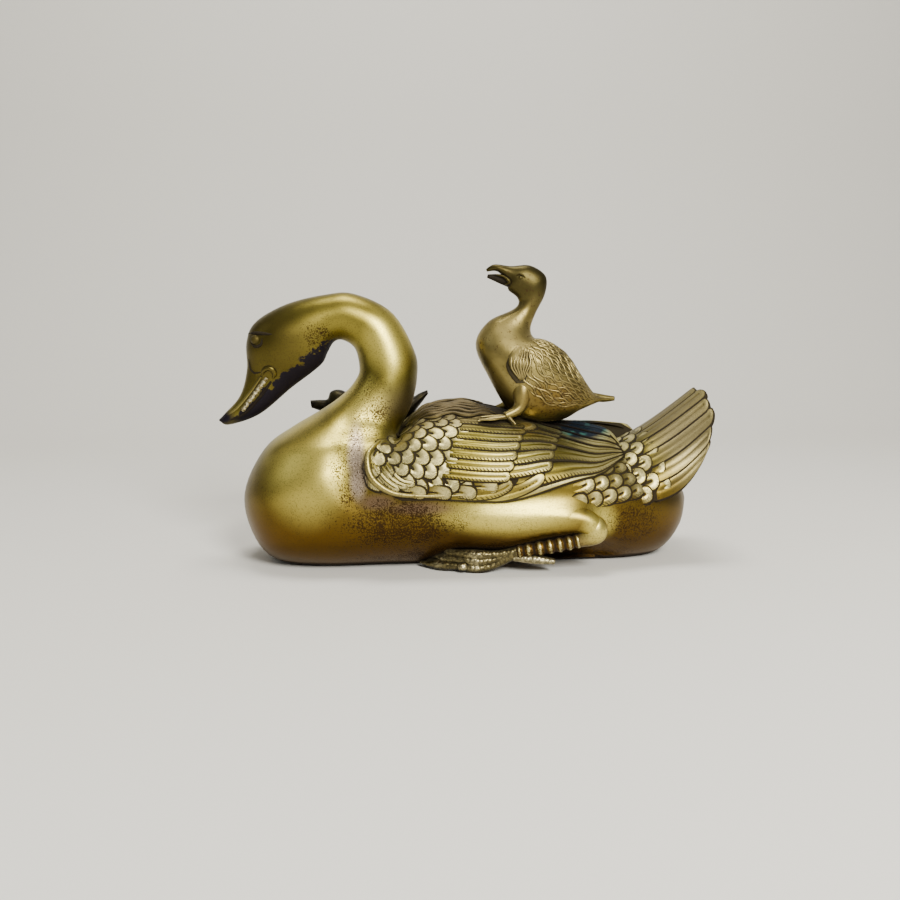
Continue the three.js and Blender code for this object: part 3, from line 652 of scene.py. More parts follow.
def tail_spine(a, t):
    """The sheet's middle skin: a curve from root to edge, whose four knots swing out and drop with a."""
    turn = a * math.pi / 2
    sweep, drop = np.sin(turn), 1 - np.cos(turn)
    knots = [np.stack([50 + 4 * drop, 38 * sweep, 55 - 27 * drop], -1),
             np.stack([74 + 8 * drop, 36 * sweep, 51 - 23 * drop], -1),
             np.stack([91 + 8 * drop, 28 * sweep, 65 - 33 * drop], -1),
             np.stack([116.4 + 14 * np.abs(a) - 19 * a * a, 29 * sweep, 85.2 - 31 * drop], -1)]
    mix = [(1 - t) ** 3, 3 * t * (1 - t) ** 2, 3 * t * t * (1 - t), t ** 3]
    return sum(knot * share[..., None] for knot, share in zip(knots, mix))


def tail_skin(t, a, lift):
    t, a, lift = np.broadcast_arrays(t, a, lift)
    inner_a, inner_t = np.clip(a, -0.99, 0.99), np.clip(t, 0.01, 0.985)
    across_way = tail_spine(inner_a + 0.01, inner_t) - tail_spine(inner_a - 0.01, inner_t)
    along_way = tail_spine(inner_a, inner_t + 0.01) - tail_spine(inner_a, inner_t - 0.01)
    out = np.cross(along_way, across_way)
    out /= np.linalg.norm(out, axis=-1)[..., None]
    return tail_spine(a, t) + out * lift[..., None]


def tail_sheet():
    t, a = np.meshgrid(np.linspace(0.02, 0.955, 34), np.linspace(-1, 1, 44), indexing="ij")
    return slab(tail_skin(t, a, -0.3), tail_skin(t, a, -tail_thickness), wear=-0.7)


tail_chart = (tail_skin, -0.3, lambda t, a: (76 * np.ones_like(t), 44 + 0 * t))
covert = {"crown": 0.15, "groove": 0.5, "rubbed": 0.65}


def tail_carving(dice):
    made = []
    for k in range(quill_count):
        a = -0.93 + 1.86 * k / (quill_count - 1)
        tip = 0.978 - 0.014 * (k % 2)
        made.append(feather(tail_chart, [(0.45, 0.97 * a), (0.7, a), (tip, a)], 11.0, lift=0.7, rounding=0.1,
                            crown=0.35, groove=0.2, groove_from=0.1, groove_to=0.95, rows=12, base_width=0.95,
                            rise=0.3, tilt=0.3 * np.sign(a), hatched=False, rubbed=0.3))
    for row in range(covert_rows):
        for k in range(8 + row % 2):
            a = -0.90 + 0.225 * k + 0.1125 * (1 - row % 2)
            t = 0.16 + 0.082 * row + 0.03 * a * a
            if abs(a) < 0.97:
                path = [(t - 0.17, 0.97 * a), (t - 0.07, a), (t, a + dice.uniform(-0.01, 0.01))]
                made.append(feather(tail_chart, path, 10.4, lift=0.7, slant=-0.4 * np.sign(a), **covert))
    return made


rump_chart = (body_skin, 0.2, lambda x, angle: (np.ones_like(x), 0.62 + 0 * x))


def rump_carving():
    """The tail's lowest coverts lie on the rump, below the wing's trailing rim."""
    made = []
    for column in range(6):
        for lane in range(4):
            x, angle = 50 + 7.5 * column + 3.7 * (lane % 2), 93 - 10.5 * lane - 1.2 * column
            if x < 90 - 4 * lane and angle > rim_angle(x) - 16:
                path = [(x - 12, angle + 5), (x - 5, angle + 2), (x, angle)]
                made.append(feather(rump_chart, path, 8.2, lift=0.9, slant=-0.4, **covert))
    return made


tail_parts = [tail_sheet(), *tail_carving(np.random.default_rng(11))]
for part in rump_carving():
    tail_parts += [part, mirrored(part)]

# The head's details, cast and chased in the same brass: the eye under a straight lid, the line round the
# bill's base, the rolled corner of the mouth, the lips and the row of teeth.
tooth_count, tooth_finish = 9, 2
mouth_front, mouth_corner = np.array((-113.6, 74.2)), np.array((-101.3, 90.4))


def on_head(x, z, proud=0.0):
    """A place on the head's near skin, from its x and z in the side view."""
    return (x, -float(trunk_half_width(x, z, 0, head_station)) - proud, z)


def head_line(places, radii, wear, sections=24, proud=0.0):
    return limb([on_head(x, z, proud) for x, z in places], radii, sections, 8, wear=wear)


def arc(centre, radius, degrees):
    """Places on an arc in the side view."""
    return [(centre[0] + radius * math.cos(a), centre[1] + radius * math.sin(a)) for a in np.radians(degrees)]


eye = ball(on_head(-106.1, 108.8, -1.2), (2.7, 2.4, 2.6), wear=-0.42)
lower_lid = head_line(arc((-106, 108.6), 3.1, [205, 260, 320, 20]), [0.2, 0.7, 0.7, 0.2], -0.9)
upper_lid = head_line([(-110.4, 111.5), (-106, 112.0), (-101.5, 111.7), (-98.2, 111.5)],
                      [0.3, 0.9, 0.75, 0.2], -0.9)
crescent = head_line(arc((-100.3, 92.3), 2.9, [-50, -5, 45, 95, 150, 185]), [0.5, 1.1, 1.35, 1.35, 1.1, 0.5],
                     0.2, 28)
bill_base = head_line([(-110.2, 99.5), (-109.4, 95), (-107.4, 92.7), (-104.3, 93.2)],
                      [0.2, 0.5, 0.5, 0.3], -0.9)
upper_lip = head_line([(-121.5, 71.6), (-116, 75.6), (-109.5, 83.2), (-104, 91)], [0.4, 0.8, 0.8, 0.7], 0.3,
                      proud=0.1)
# The lower lip is painted dark, as painted shade under the upper lip.
lower_lip = head_line([(-119.5, 69.6), (-112.4, 73.0), (-105, 81), (-99.3, 88.5)], [0.3, 0.8, 0.9, 0.5], -1.0)
notches = 3 * tooth_count + 1
tooth_row = [mouth_front + (mouth_corner - mouth_front) * share for share in np.linspace(0, 1, 6)]
tooth_radii, tooth_wear = [], []
for k in range(notches):
    share, between = k / notches, k % 3 == 0
    tooth_radii.append((0.85 + 0.4 * min(1, 3 * (1 - share), 0.5 + share)) * (0.84 if between else 1.03))
    tooth_wear.append(-1.0 if between else 0.8)
teeth = limb([on_head(x, z, -0.1) for x, z in tooth_row], tooth_radii, 3 * notches, 10, wear=tooth_wear,
             finish=tooth_finish)
head_parts = [eye, lower_lid, upper_lid, crescent, bill_base, upper_lip, lower_lip, teeth]

mother_parts += near_wing + far_wing + tail_parts
for part in leg_parts + head_parts:
    mother_parts += [part, mirrored(part)]


def enclosed(part):
    """Six times the volume that a shell encloses, below 0 where its faces point inwards."""
    points, faces = part["points"], part["faces"]
    fans = np.array([(face[0], face[k], face[k + 1]) for face in faces for k in range(1, len(face) - 1)])
    first, second, third = points[fans[:, 0]], points[fans[:, 1]], points[fans[:, 2]]
    return float((first * np.cross(second, third)).sum())


def casting(name, parts):
    """One object of all the shells, flat where it stands, with feather places and wear kept at the
    faces' corners."""
    points = np.vstack([to_metres(part["points"]) for part in parts])
    points[:, 2] = np.maximum(points[:, 2], 0)
    faces, finish, offset = [], [], 0
    for part in parts:
        turned = -1 if enclosed(part) < 0 else 1
        faces += [tuple(v + offset for v in face)[::turned] for face in part["faces"]]
        finish += [part["finish"]] * len(part["faces"])
        offset += len(part["points"])
    mesh = bpy.data.meshes.new(name)
    mesh.from_pydata(points.tolist(), [], faces)
    corner = np.zeros(len(mesh.loops), np.int32)
    mesh.loops.foreach_get("vertex_index", corner)
    places = np.vstack([part["feather"] for part in parts])[corner]
    wear = np.concatenate([part["wear"] for part in parts])[corner]
    mesh.uv_layers.new(name="feather").data.foreach_set("uv", places.astype(np.float32).reshape(-1))
    mesh.attributes.new("wear", "FLOAT", "CORNER").data.foreach_set("value", wear.astype(np.float32))
    mesh.polygons.foreach_set("use_smooth", [True] * len(faces))
    mesh.polygons.foreach_set("material_index", finish)
    piece = bpy.data.objects.new(name, mesh)
    bpy.context.scene.collection.objects.link(piece)
    return piece


mother = casting("mother_goose_casting", mother_parts)
mother.data.set_sharp_from_angle(angle=math.radians(sharp_edge_degrees))


# The mother's finish: olive brass, rubbed pale and painted with highlights on the breast, neck, thigh and
# hock, rubbed pale on the feather backs, with a brown patina left mottled round the wing's front and along
# the flank, near-black recesses of patina and painted shade, the throat and the bill's underside painted
# near-black as shade, a dull back, and verdigris on the wings behind the standing gosling.
def feed(value, socket):
    if isinstance(value, bpy.types.NodeSocket):
        socket.id_data.links.new(value, socket)
    else:
        socket.default_value = value


def node(tree, kind, settings=None, **inputs):
    """A new node. Inputs are named with underscores for spaces, and take a value or an output."""
    made = tree.nodes.new(kind)
    for name, value in (settings or {}).items():
        setattr(made, name, value)
    for name, value in inputs.items():
        feed(value, made.inputs[name.replace("_", " ")])
    return made


def tree_of(*values):
    """The node tree of the first output among the values."""
    return next(value.id_data for value in values if isinstance(value, bpy.types.NodeSocket))


def maths(operation, *values, clamp=False):
    made = node(tree_of(*values), "ShaderNodeMath", {"operation": operation, "use_clamp": clamp})
    for value, socket in zip(values, made.inputs):
        feed(value, socket)
    return made.outputs["Value"]


def vector_maths(operation, output, *values):
    made = node(tree_of(*values), "ShaderNodeVectorMath", {"operation": operation})
    for value, socket in zip(values, made.inputs):
        feed(value, socket)
    return made.outputs[output]


def times(value, factor, clamp=False):
    return maths("MULTIPLY", value, factor, clamp=clamp)


def plus(total, *others):
    for value in others:
        total = maths("ADD", total, value)
    return total


def strongest(mask, *others):
    for other in others:
        mask = maths("MAXIMUM", mask, other)
    return mask


def ramp(value, low, high):
    """0 up to low and 1 from high, with soft ends. The other way round where low is above high."""
    made = node(value.id_data, "ShaderNodeMapRange", {"interpolation_type": "SMOOTHSTEP"}, Value=value,
                From_Min=low, From_Max=high)
    return made.outputs["Result"]


def coat(under, over, cover, share=1.0):
    """One colour laid over another where cover is 1, to the given share. A fixed colour is three
    numbers."""
    under, over = [c if isinstance(c, bpy.types.NodeSocket) else (*c, 1) for c in (under, over)]
    made = node(cover.id_data, "ShaderNodeMix", {"data_type": "RGBA"}, Factor=times(cover, share), A=under,
                B=over)
    return made.outputs["Result"]


def places_on(tree):
    return node(tree, "ShaderNodeTexCoord").outputs["Object"]


def noise(place, scale, detail=2.0, roughness=0.5):
    made = node(place.id_data, "ShaderNodeTexNoise", Vector=place, Scale=scale, Detail=detail,
                Roughness=roughness)
    return made.outputs["Fac"]


def new_group(name, inputs, outputs):
    tree = bpy.data.node_groups.new(name, "ShaderNodeTree")
    for label, kind, value in inputs:
        socket = tree.interface.new_socket(label, in_out="INPUT", socket_type="NodeSocket" + kind)
        socket.default_value = value
    for label in outputs:
        tree.interface.new_socket(label, in_out="OUTPUT", socket_type="NodeSocketFloat")
    return tree, tree.nodes.new("NodeGroupInput").outputs, tree.nodes.new("NodeGroupOutput").inputs


def use(tree, group, **inputs):
    return node(tree, "ShaderNodeGroup", {"node_tree": group}, **inputs).outputs


# spot: 1 at a place on either side of the body, fading to 0 at its reach.
spot_inputs = [("Place", "Vector", (0, 0, 0)), ("Reach", "Vector", (1, 1, 1))]
spot, given, result = new_group("spot", spot_inputs, ["Mask"])
from_spot = vector_maths("SUBTRACT", "Vector", places_on(spot), given["Place"])
share_of_reach = vector_maths("LENGTH", "Value", vector_maths("DIVIDE", "Vector", from_spot, given["Reach"]))
feed(ramp(share_of_reach, 1.0, 0.25), result["Mask"])

# mottle: a mask broken into fine specks, thick where the mask is strong.
mottle, given, result = new_group("mottle", [("Mask", "Float", 0.5), ("Scale", "Float", 900.0)], ["Cover"])
place = places_on(mottle)
grains = plus(noise(place, given["Scale"], 3.0, 0.65), times(noise(place, 140.0), 0.25))
speck_floor, speck_full = 0.76, 0.90
covered = ramp(plus(grains, times(given["Mask"], 0.24)), speck_floor, speck_full)
feed(times(covered, ramp(given["Mask"], 0.0, 0.2)), result["Cover"])

# recess: dark patina in carved lines, from the wear kept in the mesh, and painted shade where parts
# meet, from the nearness of other surfaces.
recess_patina_and_shade, given, result = new_group("recess_patina_and_shade", [("Depth", "Float", 0.004)], ["Dark", "Rubbed"])
worn = node(recess_patina_and_shade, "ShaderNodeAttribute", {"attribute_name": "wear"}).outputs["Fac"]
near = node(recess_patina_and_shade, "ShaderNodeAmbientOcclusion", {"samples": 8}, Distance=given["Depth"]).outputs["AO"]
# The dark output is partly patina from the wear and partly painted shade from the occlusion.
feed(strongest(ramp(near, 0.85, 0.35), ramp(worn, -0.15, -0.8)), result["Dark"])
feed(times(ramp(worn, 0.1, 0.8), ramp(near, 0.4, 0.9)), result["Rubbed"])

# hatching: fine cuts across a feather's lower edge, from its own feather coordinates.
hatching, given, result = new_group("hatching", [("Pitch", "Float", 1.0), ("Inner", "Float", 0.25)], ["Line"])
feather_place = node(hatching, "ShaderNodeUVMap", {"uv_map": "feather"}).outputs["UV"]
barbs, outwards = node(hatching, "ShaderNodeSeparateXYZ", Vector=feather_place).outputs[:2]
wave = maths("PINGPONG", maths("DIVIDE", barbs, given["Pitch"]), 0.5)
band = times(ramp(outwards, given["Inner"], 0.6), ramp(outwards, 1.0, 0.93))
feed(times(ramp(wave, 0.24, 0.10), band), result["Line"])


def lay_spots(tree, *spots_mm):
    """The strongest of some spots on both sides of the body. Each is its x, its z and how far it reaches
    along x and along z, and it takes in the whole width."""
    masks = []
    for x, z, reach_x, reach_z in spots_mm:
        reach = (reach_x * 0.001, 1.0, reach_z * 0.001)
        masks.append(use(tree, spot, Place=tuple(to_metres((x, 0, z))), Reach=reach)["Mask"])
    return strongest(*masks)


def new_metal(name):
    """A casting's material, with its node tree and the places on the casting."""
    metal = bpy.data.materials.new(name)
    metal.use_nodes = True
    return metal, metal.node_tree, places_on(metal.node_tree)


def finish_shader(tree, colour, dark_patina_and_shade, roughness, height, relief):
    """Wires the metal: dark patina and painted shade are less metallic, and relief is the bump's height."""
    shader = tree.nodes["Principled BSDF"].inputs
    shader["Specular IOR Level"].default_value = 0.15
    feed(colour, shader["Base Color"])
    feed(maths("SUBTRACT", 1.0, times(dark_patina_and_shade, 0.85)), shader["Metallic"])
    feed(roughness, shader["Roughness"])
    feed(node(tree, "ShaderNodeBump", Height=height, Distance=relief).outputs["Normal"], shader["Normal"])


olive, light_olive, belly_brown = (0.112, 0.096, 0.015), (0.225, 0.182, 0.032), (0.100, 0.048, 0.006)
polished_highlight_gold, feather_gold, face_olive = (0.74, 0.615, 0.135), (0.70, 0.61, 0.26), (0.075, 0.055, 0.014)
back_brown, fan_grey, bloom_brown = (0.13, 0.10, 0.055), (0.20, 0.165, 0.085), (0.15, 0.095, 0.07)
band_grey, stain_brown, speck_brown = (0.52, 0.41, 0.32), (0.030, 0.014, 0.007), (0.05, 0.035, 0.012)
deep_blue, sea_green = (0.006, 0.011, 0.018), (0.035, 0.11, 0.095)
barb_pitch = 1.45
throat_shade_black, line_and_shade_black = (0.006, 0.004, 0.008), (0.012, 0.008, 0.005)
mother_brass, tree, place = new_metal("mother_brass")
clouds, grain = noise(place, 28.0, 3.0), noise(place, 1400.0)
height_z = node(tree, "ShaderNodeSeparateXYZ", Vector=place).outputs["Z"]
colour = coat(olive, light_olive, ramp(clouds, 0.35, 0.65))
colour = coat(colour, belly_brown, ramp(height_z, 0.064, 0.012), 0.92)
# Painted highlight: pale polished spots where the lamps light the breast, neck, thigh and hock, over real
# rubbing.
rubbed_and_highlight_spots = lay_spots(tree, (-82, 53, 26, 36), (-42, 108, 16, 22), (-60, 74, 20, 26), (12, 29, 46, 13),
                 (55, 23, 13, 13))
colour = coat(colour, polished_highlight_gold, rubbed_and_highlight_spots, 0.84)
recesses_patina_and_shade = use(tree, recess_patina_and_shade)
colour = coat(colour, feather_gold, recesses_patina_and_shade["Rubbed"], 0.94)
colour = coat(colour, face_olive, lay_spots(tree, (-100, 104, 38, 34)), 0.72)
back = times(ramp(height_z, 0.064, 0.076), lay_spots(tree, (-8, 72, 62, 26)))
dulled = strongest(times(back, 0.9), times(lay_spots(tree, (104, 76, 30, 34)), 0.4))
colour = coat(colour, back_brown, dulled)
colour = coat(colour, fan_grey, lay_spots(tree, (104, 60, 26, 32)), 0.6)
colour = coat(colour, bloom_brown, lay_spots(tree, (-49, 35, 12, 5.5), (-28, 32, 24, 4.5)), 0.7)
colour = coat(colour, band_grey, lay_spots(tree, (-58.5, 57, 5.5, 17), (-57.5, 45, 5.5, 12)), 0.8)
light_stain = lay_spots(tree, (-61, 48, 14, 32), (-52, 76, 15, 24), (-76, 110, 13, 12), (74, 22, 24, 24))
stain = strongest(times(light_stain, 0.72), lay_spots(tree, (-38, 24, 42, 20), (8, 6, 100, 14)))
specks = use(tree, mottle, Mask=stain, Scale=1400.0)["Cover"]
colour = coat(colour, stain_brown, specks, 0.9)
overall = times(use(tree, mottle, Mask=0.32, Scale=1700.0)["Cover"], 0.6)
colour = coat(colour, speck_brown, strongest(overall, times(ramp(grain, 0.52, 0.72), 0.4)))
aged = times(lay_spots(tree, (51, 70, 27, 14)), 1.6)
verdigris = times(aged, ramp(clouds, 0.30, 0.48), clamp=True)
sea = coat(deep_blue, sea_green, ramp(noise(place, 160.0), 0.50, 0.68))
colour = coat(colour, sea, verdigris)

# Painted shade: the throat and the bill's underside are painted near-black below a slanting line with a
# ragged edge.
throat_line, throat_down = (-113, 0, 77.8), (0.62, 0.0, -0.785)
throat_start = float(to_metres(throat_line) @ np.array(throat_down))
under_throat = maths("SUBTRACT", vector_maths("DOT_PRODUCT", "Value", place, throat_down), throat_start)
ragged = plus(under_throat, times(maths("SUBTRACT", noise(place, 230.0, 4.0, 0.65), 0.5), 0.014))
throat_shade = times(ramp(ragged, 0.0005, 0.0025), ramp(under_throat, 0.017, 0.012))
throat_reach = times(lay_spots(tree, (-98, 84, 44, 34), (-77, 102, 16, 17)), 1.6)
throat_shade = strongest(times(throat_shade, throat_reach, clamp=True), lay_spots(tree, (-123, 70.5, 9, 6)))
colour = coat(colour, throat_shade_black, throat_shade)
hatch = use(tree, hatching, Pitch=barb_pitch)["Line"]
# Carved lines and patina go dark, and painted shade darkens creases and gaps between parts.
dark_patina_and_shade = strongest(recesses_patina_and_shade["Dark"], times(hatch, 0.9))
colour = coat(colour, line_and_shade_black, dark_patina_and_shade, 0.93)
unpolished = strongest(dark_patina_and_shade, specks, dulled, throat_shade, verdigris)
roughness = plus(0.35, times(unpolished, 0.22), times(grain, 0.06), times(dark_patina_and_shade, 0.2))
carved = maths("SUBTRACT", times(grain, 0.25), strongest(hatch, times(specks, 0.3)))
finish_shader(tree, colour, strongest(dark_patina_and_shade, throat_shade, verdigris), roughness, carved, 0.00016)
mother.data.materials.append(mother_brass)

# The feet and shanks are of the same pour as the body. Their brass is grey-green with pale worn
# knuckles, pitted all over like scaly skin, and near-black in the creases from patina and painted shade.
foot_green, knuckle_gold = (0.17, 0.14, 0.06), (0.55, 0.48, 0.27)
pit_brown, crease_and_shade_black = (0.030, 0.024, 0.014), (0.010, 0.008, 0.005)
foot_metal, tree, place = new_metal("foot_metal")
scales = node(tree, "ShaderNodeTexVoronoi", Vector=place, Scale=620.0).outputs["Distance"]
recesses_patina_and_shade = use(tree, recess_patina_and_shade)
colour = coat(foot_green, knuckle_gold, recesses_patina_and_shade["Rubbed"])
specks = use(tree, mottle, Mask=0.55, Scale=1500.0)["Cover"]
pits = strongest(times(ramp(scales, 0.45, 0.62), 0.55), times(specks, 0.5))
colour = coat(colour, pit_brown, pits)
# Patina and painted shade: creases and gaps between toes go near-black.
colour = coat(colour, crease_and_shade_black, recesses_patina_and_shade["Dark"], 0.92)
roughness = plus(0.34, times(specks, 0.2))
finish_shader(tree, colour, recesses_patina_and_shade["Dark"], roughness, maths("SUBTRACT", 1.0, scales), 0.0003)
mother.data.materials.append(foot_metal)

# The teeth are cut into the bill's own brass, and are rubbed almost to ivory with brown left in the
# chips.
ivory, tooth_brown = (0.50, 0.45, 0.29), (0.20, 0.155, 0.07)
tooth_metal, tree, place = new_metal("tooth_metal")
chips = noise(place, 900.0)
colour = coat(ivory, tooth_brown, ramp(chips, 0.45, 0.62))
finish_shader(tree, colour, use(tree, recess_patina_and_shade)["Dark"], 0.4, chips, 0.0001)
mother.data.materials.append(tooth_metal)

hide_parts("mother_goose")
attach(mother, "root")

# The standing gosling: a smaller casting fixed on the mother's back, with its bill open, a short wing
# like a leaf, down in wavy lines over its back, and flat feet on her shoulder feathers.
standing_stations = np.array([
    [4.9, 142.9, 5.4, 141.6, 0.8, 0, 0.5],   # bill tip, hooked down
    [9.0, 145.2, 10.6, 141.6, 2.2, 0, 0.5],
    [17.2, 144.4, 15.4, 136.6, 3.4, 0, 0.5],
    [26.5, 144.7, 15.9, 132.8, 4.7, 0, 0.5],
    [34.2, 139.6, 20.0, 129.4, 5.2, 0, 0.5],   # back of the head
    [34.0, 131.0, 20.9, 126.2, 4.4, 0, 0.5],
    [29.4, 121.5, 17.6, 123.0, 4.6, 0, 0.5],   # neck
    [26.9, 114.2, 6.0, 117.3, 7.6, 0.1, 0.5],
    [28.6, 109.6, 0.0, 106.5, 12.6, 0.4, 0.5],
    [36.0, 107.2, 5.5, 92.0, 16.2, 0.4, 0.5],
    [44.4, 101.4, 20.0, 70.0, 17.0, 0.2, 0.5],
    [51.5, 91.0, 40.0, 68.6, 14.5, 0.1, 0.5],
    [57.5, 82.6, 51.0, 73.6, 8.0, 0.1, 0.5],
    [62.0, 80.6, 61.0, 77.6, 4.2, 0, 0.5],   # tail
    [67.2, 79.6, 67.0, 78.2, 2.4, 0, 0.5],
])
standing_middle = -12
breast_station, rump_station = 7.0, 12.9


def on_gosling(station, angle, lift=0.0):
    """Points of the standing gosling's near skin, with lift above it."""
    station, angle = np.broadcast_arrays(np.asarray(station, float), np.asarray(angle, float))
    here = trunk_skin(standing_stations, station, angle)
    out = np.cross(trunk_skin(standing_stations, station + 0.05, angle) - here,
                   trunk_skin(standing_stations, station, angle + 0.05) - here)
    out /= np.linalg.norm(out, axis=-1)[..., None] + 1e-9
    out *= np.where(out[..., 1:2] > 0, -1, 1)
    return here + out * lift


def beside_gosling(x, z, proud):
    """A point beside the standing gosling's body, seen from its side at x and z."""
    return (x, -float(trunk_half_width(x, z, breast_station, rump_station, standing_stations)) - proud, z)


down_lanes, down_steps = 20, 7
down_dice = np.random.default_rng(5)
down = []
for lane in range(down_lanes):
    angle = 0.18 + 1.85 * lane / (down_lanes - 1)
    for step in range(down_steps):
        start = 8.1 + 0.64 * step + 0.3 * (lane % 2) + down_dice.uniform(-0.1, 0.1)
        stops = start + np.linspace(0, 0.95, 6)
        wave = 0.05 * np.sin(2.0 * np.arange(6) + 0.55 * lane + 2 * step)
        places = on_gosling(stops, angle + wave + down_dice.uniform(-0.02, 0.02), 0.05)
        if stops[-1] < rump_station and angle < min(2.0 - 0.05 * step, 0.9 + 0.9 * (start - 8)):
            down.append(limb(places, [0.1, 0.5, 0.62, 0.5, 0.1], 12, 6, wear=0.35))
leaf_path = np.array([beside_gosling(21.5, 106.5, -0.8), beside_gosling(19.2, 98.5, 0.8),
                      beside_gosling(19.8, 90.0, 1.6)])
leaf_radii, leaf_flatness, leaf_vein_count = [0.5, 1.3, 0.2], 4.3, 7
leaf = limb(leaf_path, leaf_radii, 26, 28, leaf_flatness, wear=-0.35)
# Painted shadow: a dark copy of the leaf, set back and lower, stands for the shadow under the leaf.
leaf_shadow = limb(leaf_path + [-0.2, 1.3, -1.5], [0.2, 1.45, 0.5], 26, 24, leaf_flatness, wear=-0.9)
leaf_veins = []
for k in range(leaf_vein_count):
    steps = np.linspace(0.06, 0.97, 8)
    thickness = read_table(np.array(leaf_radii)[:, None], 2 * steps)[:, 0]
    aside = -0.84 + 1.68 * k / (leaf_vein_count - 1) + 0.06 * np.sin(2.3 * np.arange(8) + k)
    places = read_table(leaf_path, 2 * steps)
    places[:, 0] += aside * leaf_flatness * thickness
    places[:, 1] -= thickness * np.sqrt(1 - aside ** 2) + 0.1
    leaf_veins.append(limb(places, [0.1, 0.5, 0.5, 0.45, 0.1], 18, 6, wear=0.5))
gosling_leg = limb([(22, -8.5, 96), (21.3, -11.6, 85), (19.4, -13.8, 76.5), (12.2, -16, 72.8)],
                   [3.0, 4.8, 3.0, 1.8], 30, 18)
heel = np.array((13.5, -15.6, 72.4))
gosling_foot = []
for tip in [(-1.5, -20.0, 71.0), (0.5, -15.0, 72.3), (16.5, -21, 69.4)]:
    gosling_foot.append(limb([heel, (heel + tip) / 2 + [0, 0, 0.2], tip], [1.4, 0.8, 0.4], 12, 12, wear=0.6))
web = limb([heel, (6.5, -18.0, 71.6), (-0.5, -17.6, 71.4)], [1.2, 3.2, 2.6], 16, 20, 0.16, wear=-0.2)
lower_bill = limb([(18.5, 0, 136.2), (11.8, 0, 138.2), (5.6, 0, 139.5)], [3.1, 2.3, 0.9], 18, 16, wear=-0.75)
mouth_line = limb([(9, -2.6, 140.3), (13.6, -3.5, 138.9), (15.8, -3.9, 136.4), (13.6, -3.0, 135.4)],
                  [0.2, 0.6, 0.8, 0.3], 20, 10)
gosling_eye = ball((21.2, -4.2, 138.6), (1.25, 0.9, 1.15), wear=-0.1)
gosling_lid = limb([(19.2, -4.2, 139.6), (21.2, -4.9, 140.4), (23.3, -4.7, 138.6)], [0.2, 0.5, 0.3], 14, 8)
gosling_tail = limb([(52, 0, 81), (58, 0, 80.2), (64, 0, 79.4), (69.2, 0, 79.3)], [2.6, 2.4, 2.0, 1.2], 20,
                    16, 0.95, wear=0.2)
standing_parts = [trunk_shell(standing_stations, 120, 72), lower_bill, gosling_tail]
sides = [mouth_line, web, leaf, leaf_shadow, *leaf_veins, *down, gosling_leg, gosling_eye, gosling_lid,
         *gosling_foot]
for part in sides:
    standing_parts += [part, mirrored(part)]
standing_parts = [{**part, "points": part["points"] + [0, standing_middle, 0]} for part in standing_parts]
standing = casting("standing_gosling_casting", standing_parts)

# The standing gosling's brass is duller than the mother's: brown-black on the head, warm and speckled
# under the belly, rubbed bright along the lines of down, and near-black where parts meet, from patina and
# painted shade.
gosling_olive, gosling_gold, head_brown = (0.165, 0.130, 0.040), (0.32, 0.255, 0.086), (0.042, 0.034, 0.011)
belly_gold, down_gold = (0.155, 0.100, 0.022), (0.46, 0.37, 0.16)
gosling_specks, gosling_patina_and_shade_black = (0.05, 0.028, 0.012), (0.010, 0.007, 0.005)
gosling_brass, tree, place = new_metal("gosling_brass")
grain = noise(place, 1400.0)
colour = coat(gosling_olive, gosling_gold, ramp(noise(place, 60.0, 3.0), 0.35, 0.65))
on_head_mask = ramp(node(tree, "ShaderNodeSeparateXYZ", Vector=place).outputs["Z"], 0.118, 0.134)
colour = coat(colour, head_brown, on_head_mask, 0.92)
recesses_patina_and_shade = use(tree, recess_patina_and_shade, Depth=0.003)
warm_belly = lay_spots(tree, (36, 80, 26, 14))
colour = coat(colour, belly_gold, warm_belly, 0.85)
colour = coat(colour, down_gold, recesses_patina_and_shade["Rubbed"], 0.8)
specks = use(tree, mottle, Mask=strongest(times(warm_belly, 0.62), 0.25), Scale=800.0)["Cover"]
colour = coat(colour, gosling_specks, specks, 0.8)
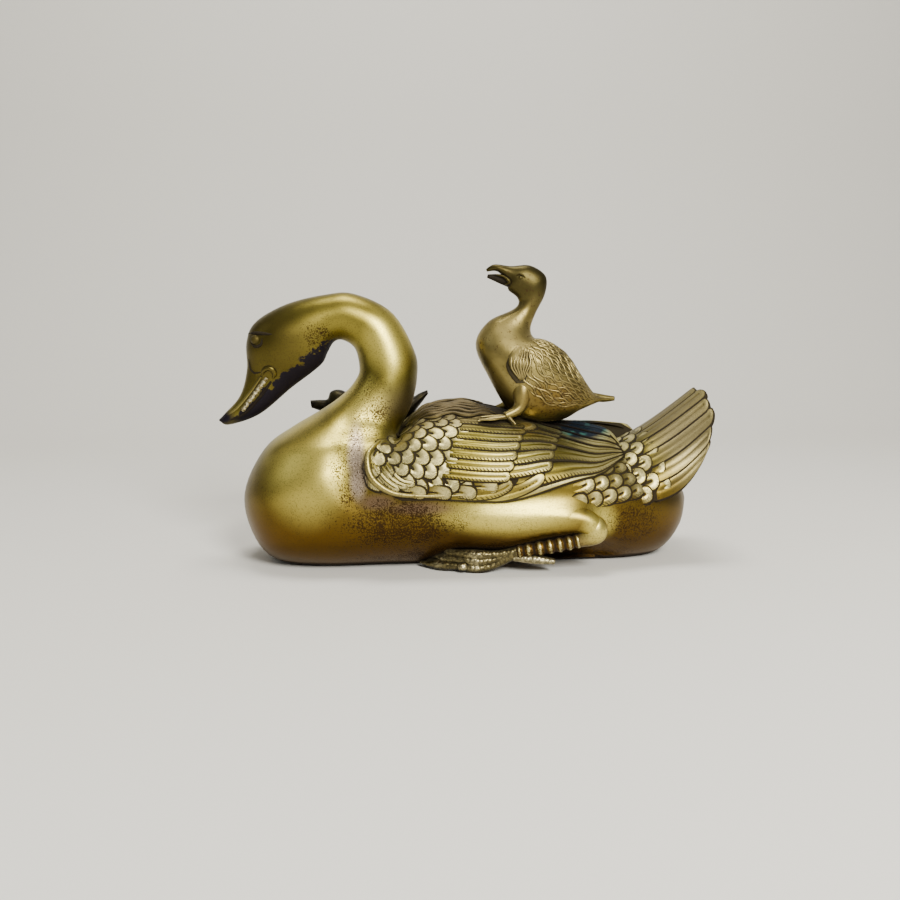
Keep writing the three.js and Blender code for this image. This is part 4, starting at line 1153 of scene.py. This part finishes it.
# Patina and painted shade: near-black in carved lines and where parts meet.
colour = coat(colour, gosling_patina_and_shade_black, recesses_patina_and_shade["Dark"], 0.9)
roughness = plus(0.40, times(strongest(recesses_patina_and_shade["Dark"], specks), 0.2))
finish_shader(tree, colour, recesses_patina_and_shade["Dark"], roughness, grain, 0.00005)
standing.data.materials.append(gosling_brass)
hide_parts("standing_gosling")
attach(standing, "root")

# The resting gosling: a plainer brass casting, painted almost black: painted shade for its place behind
# the mother's neck, over a patina mottle. It is fixed on the mother's far shoulder, so that only its bill,
# crown and tail tip show from her near side.
resting_stations = np.array([
    [-82.6, 75.6, -82.0, 71.6, 2.2, 0, 0.5],   # bill tip
    [-78.0, 75.8, -77.2, 70.0, 3.2, 0, 0.5],
    [-73.8, 76.2, -71.0, 69.0, 4.2, 0, 0.5],
    [-71.8, 80.2, -67.5, 68.4, 5.4, 0, 0.5],   # crown
    [-66.0, 80.8, -64.5, 67.0, 6.2, 0, 0.5],
    [-56.5, 75.5, -62.5, 63.5, 6.8, 0, 0.5],   # nape
    [-51.0, 75.0, -58.0, 59.0, 9.5, 0, 0.5],
    [-44.0, 78.0, -46.0, 56.0, 12.0, 0, 0.5],
    [-36.0, 77.5, -35.5, 59.0, 11.0, 0, 0.5],
    [-30.0, 76.5, -28.5, 68.0, 6.5, 0, 0.5],
    [-25.0, 79.0, -23.5, 74.5, 3.2, 0, 0.5],
    [-21.0, 80.6, -20.6, 78.4, 1.8, 0, 0.5],   # tail
])
resting_middle = 31
resting_part = trunk_shell(resting_stations, 90, 48)
resting_part["points"] += [0, resting_middle, 0]
resting = casting("resting_gosling_casting", [resting_part])
shade_black, dark_olive, shade_black_specks = (0.012, 0.010, 0.007), (0.05, 0.043, 0.018), (0.008, 0.006, 0.005)
shade_darkened_brass, tree, place = new_metal("shade_darkened_brass")
clouds = noise(place, 90.0, 3.0)
specks = use(tree, mottle, Mask=0.35, Scale=1100.0)["Cover"]
# Painted shade: a near-black base with dark olive clouds and patina specks.
colour = coat(coat(shade_black, dark_olive, ramp(clouds, 0.45, 0.75)), shade_black_specks, specks, 0.8)
finish_shader(tree, colour, specks, plus(0.42, times(specks, 0.15)), clouds, 0.0002)
resting.data.materials.append(shade_darkened_brass)
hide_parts("resting_gosling")
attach(resting, "root")
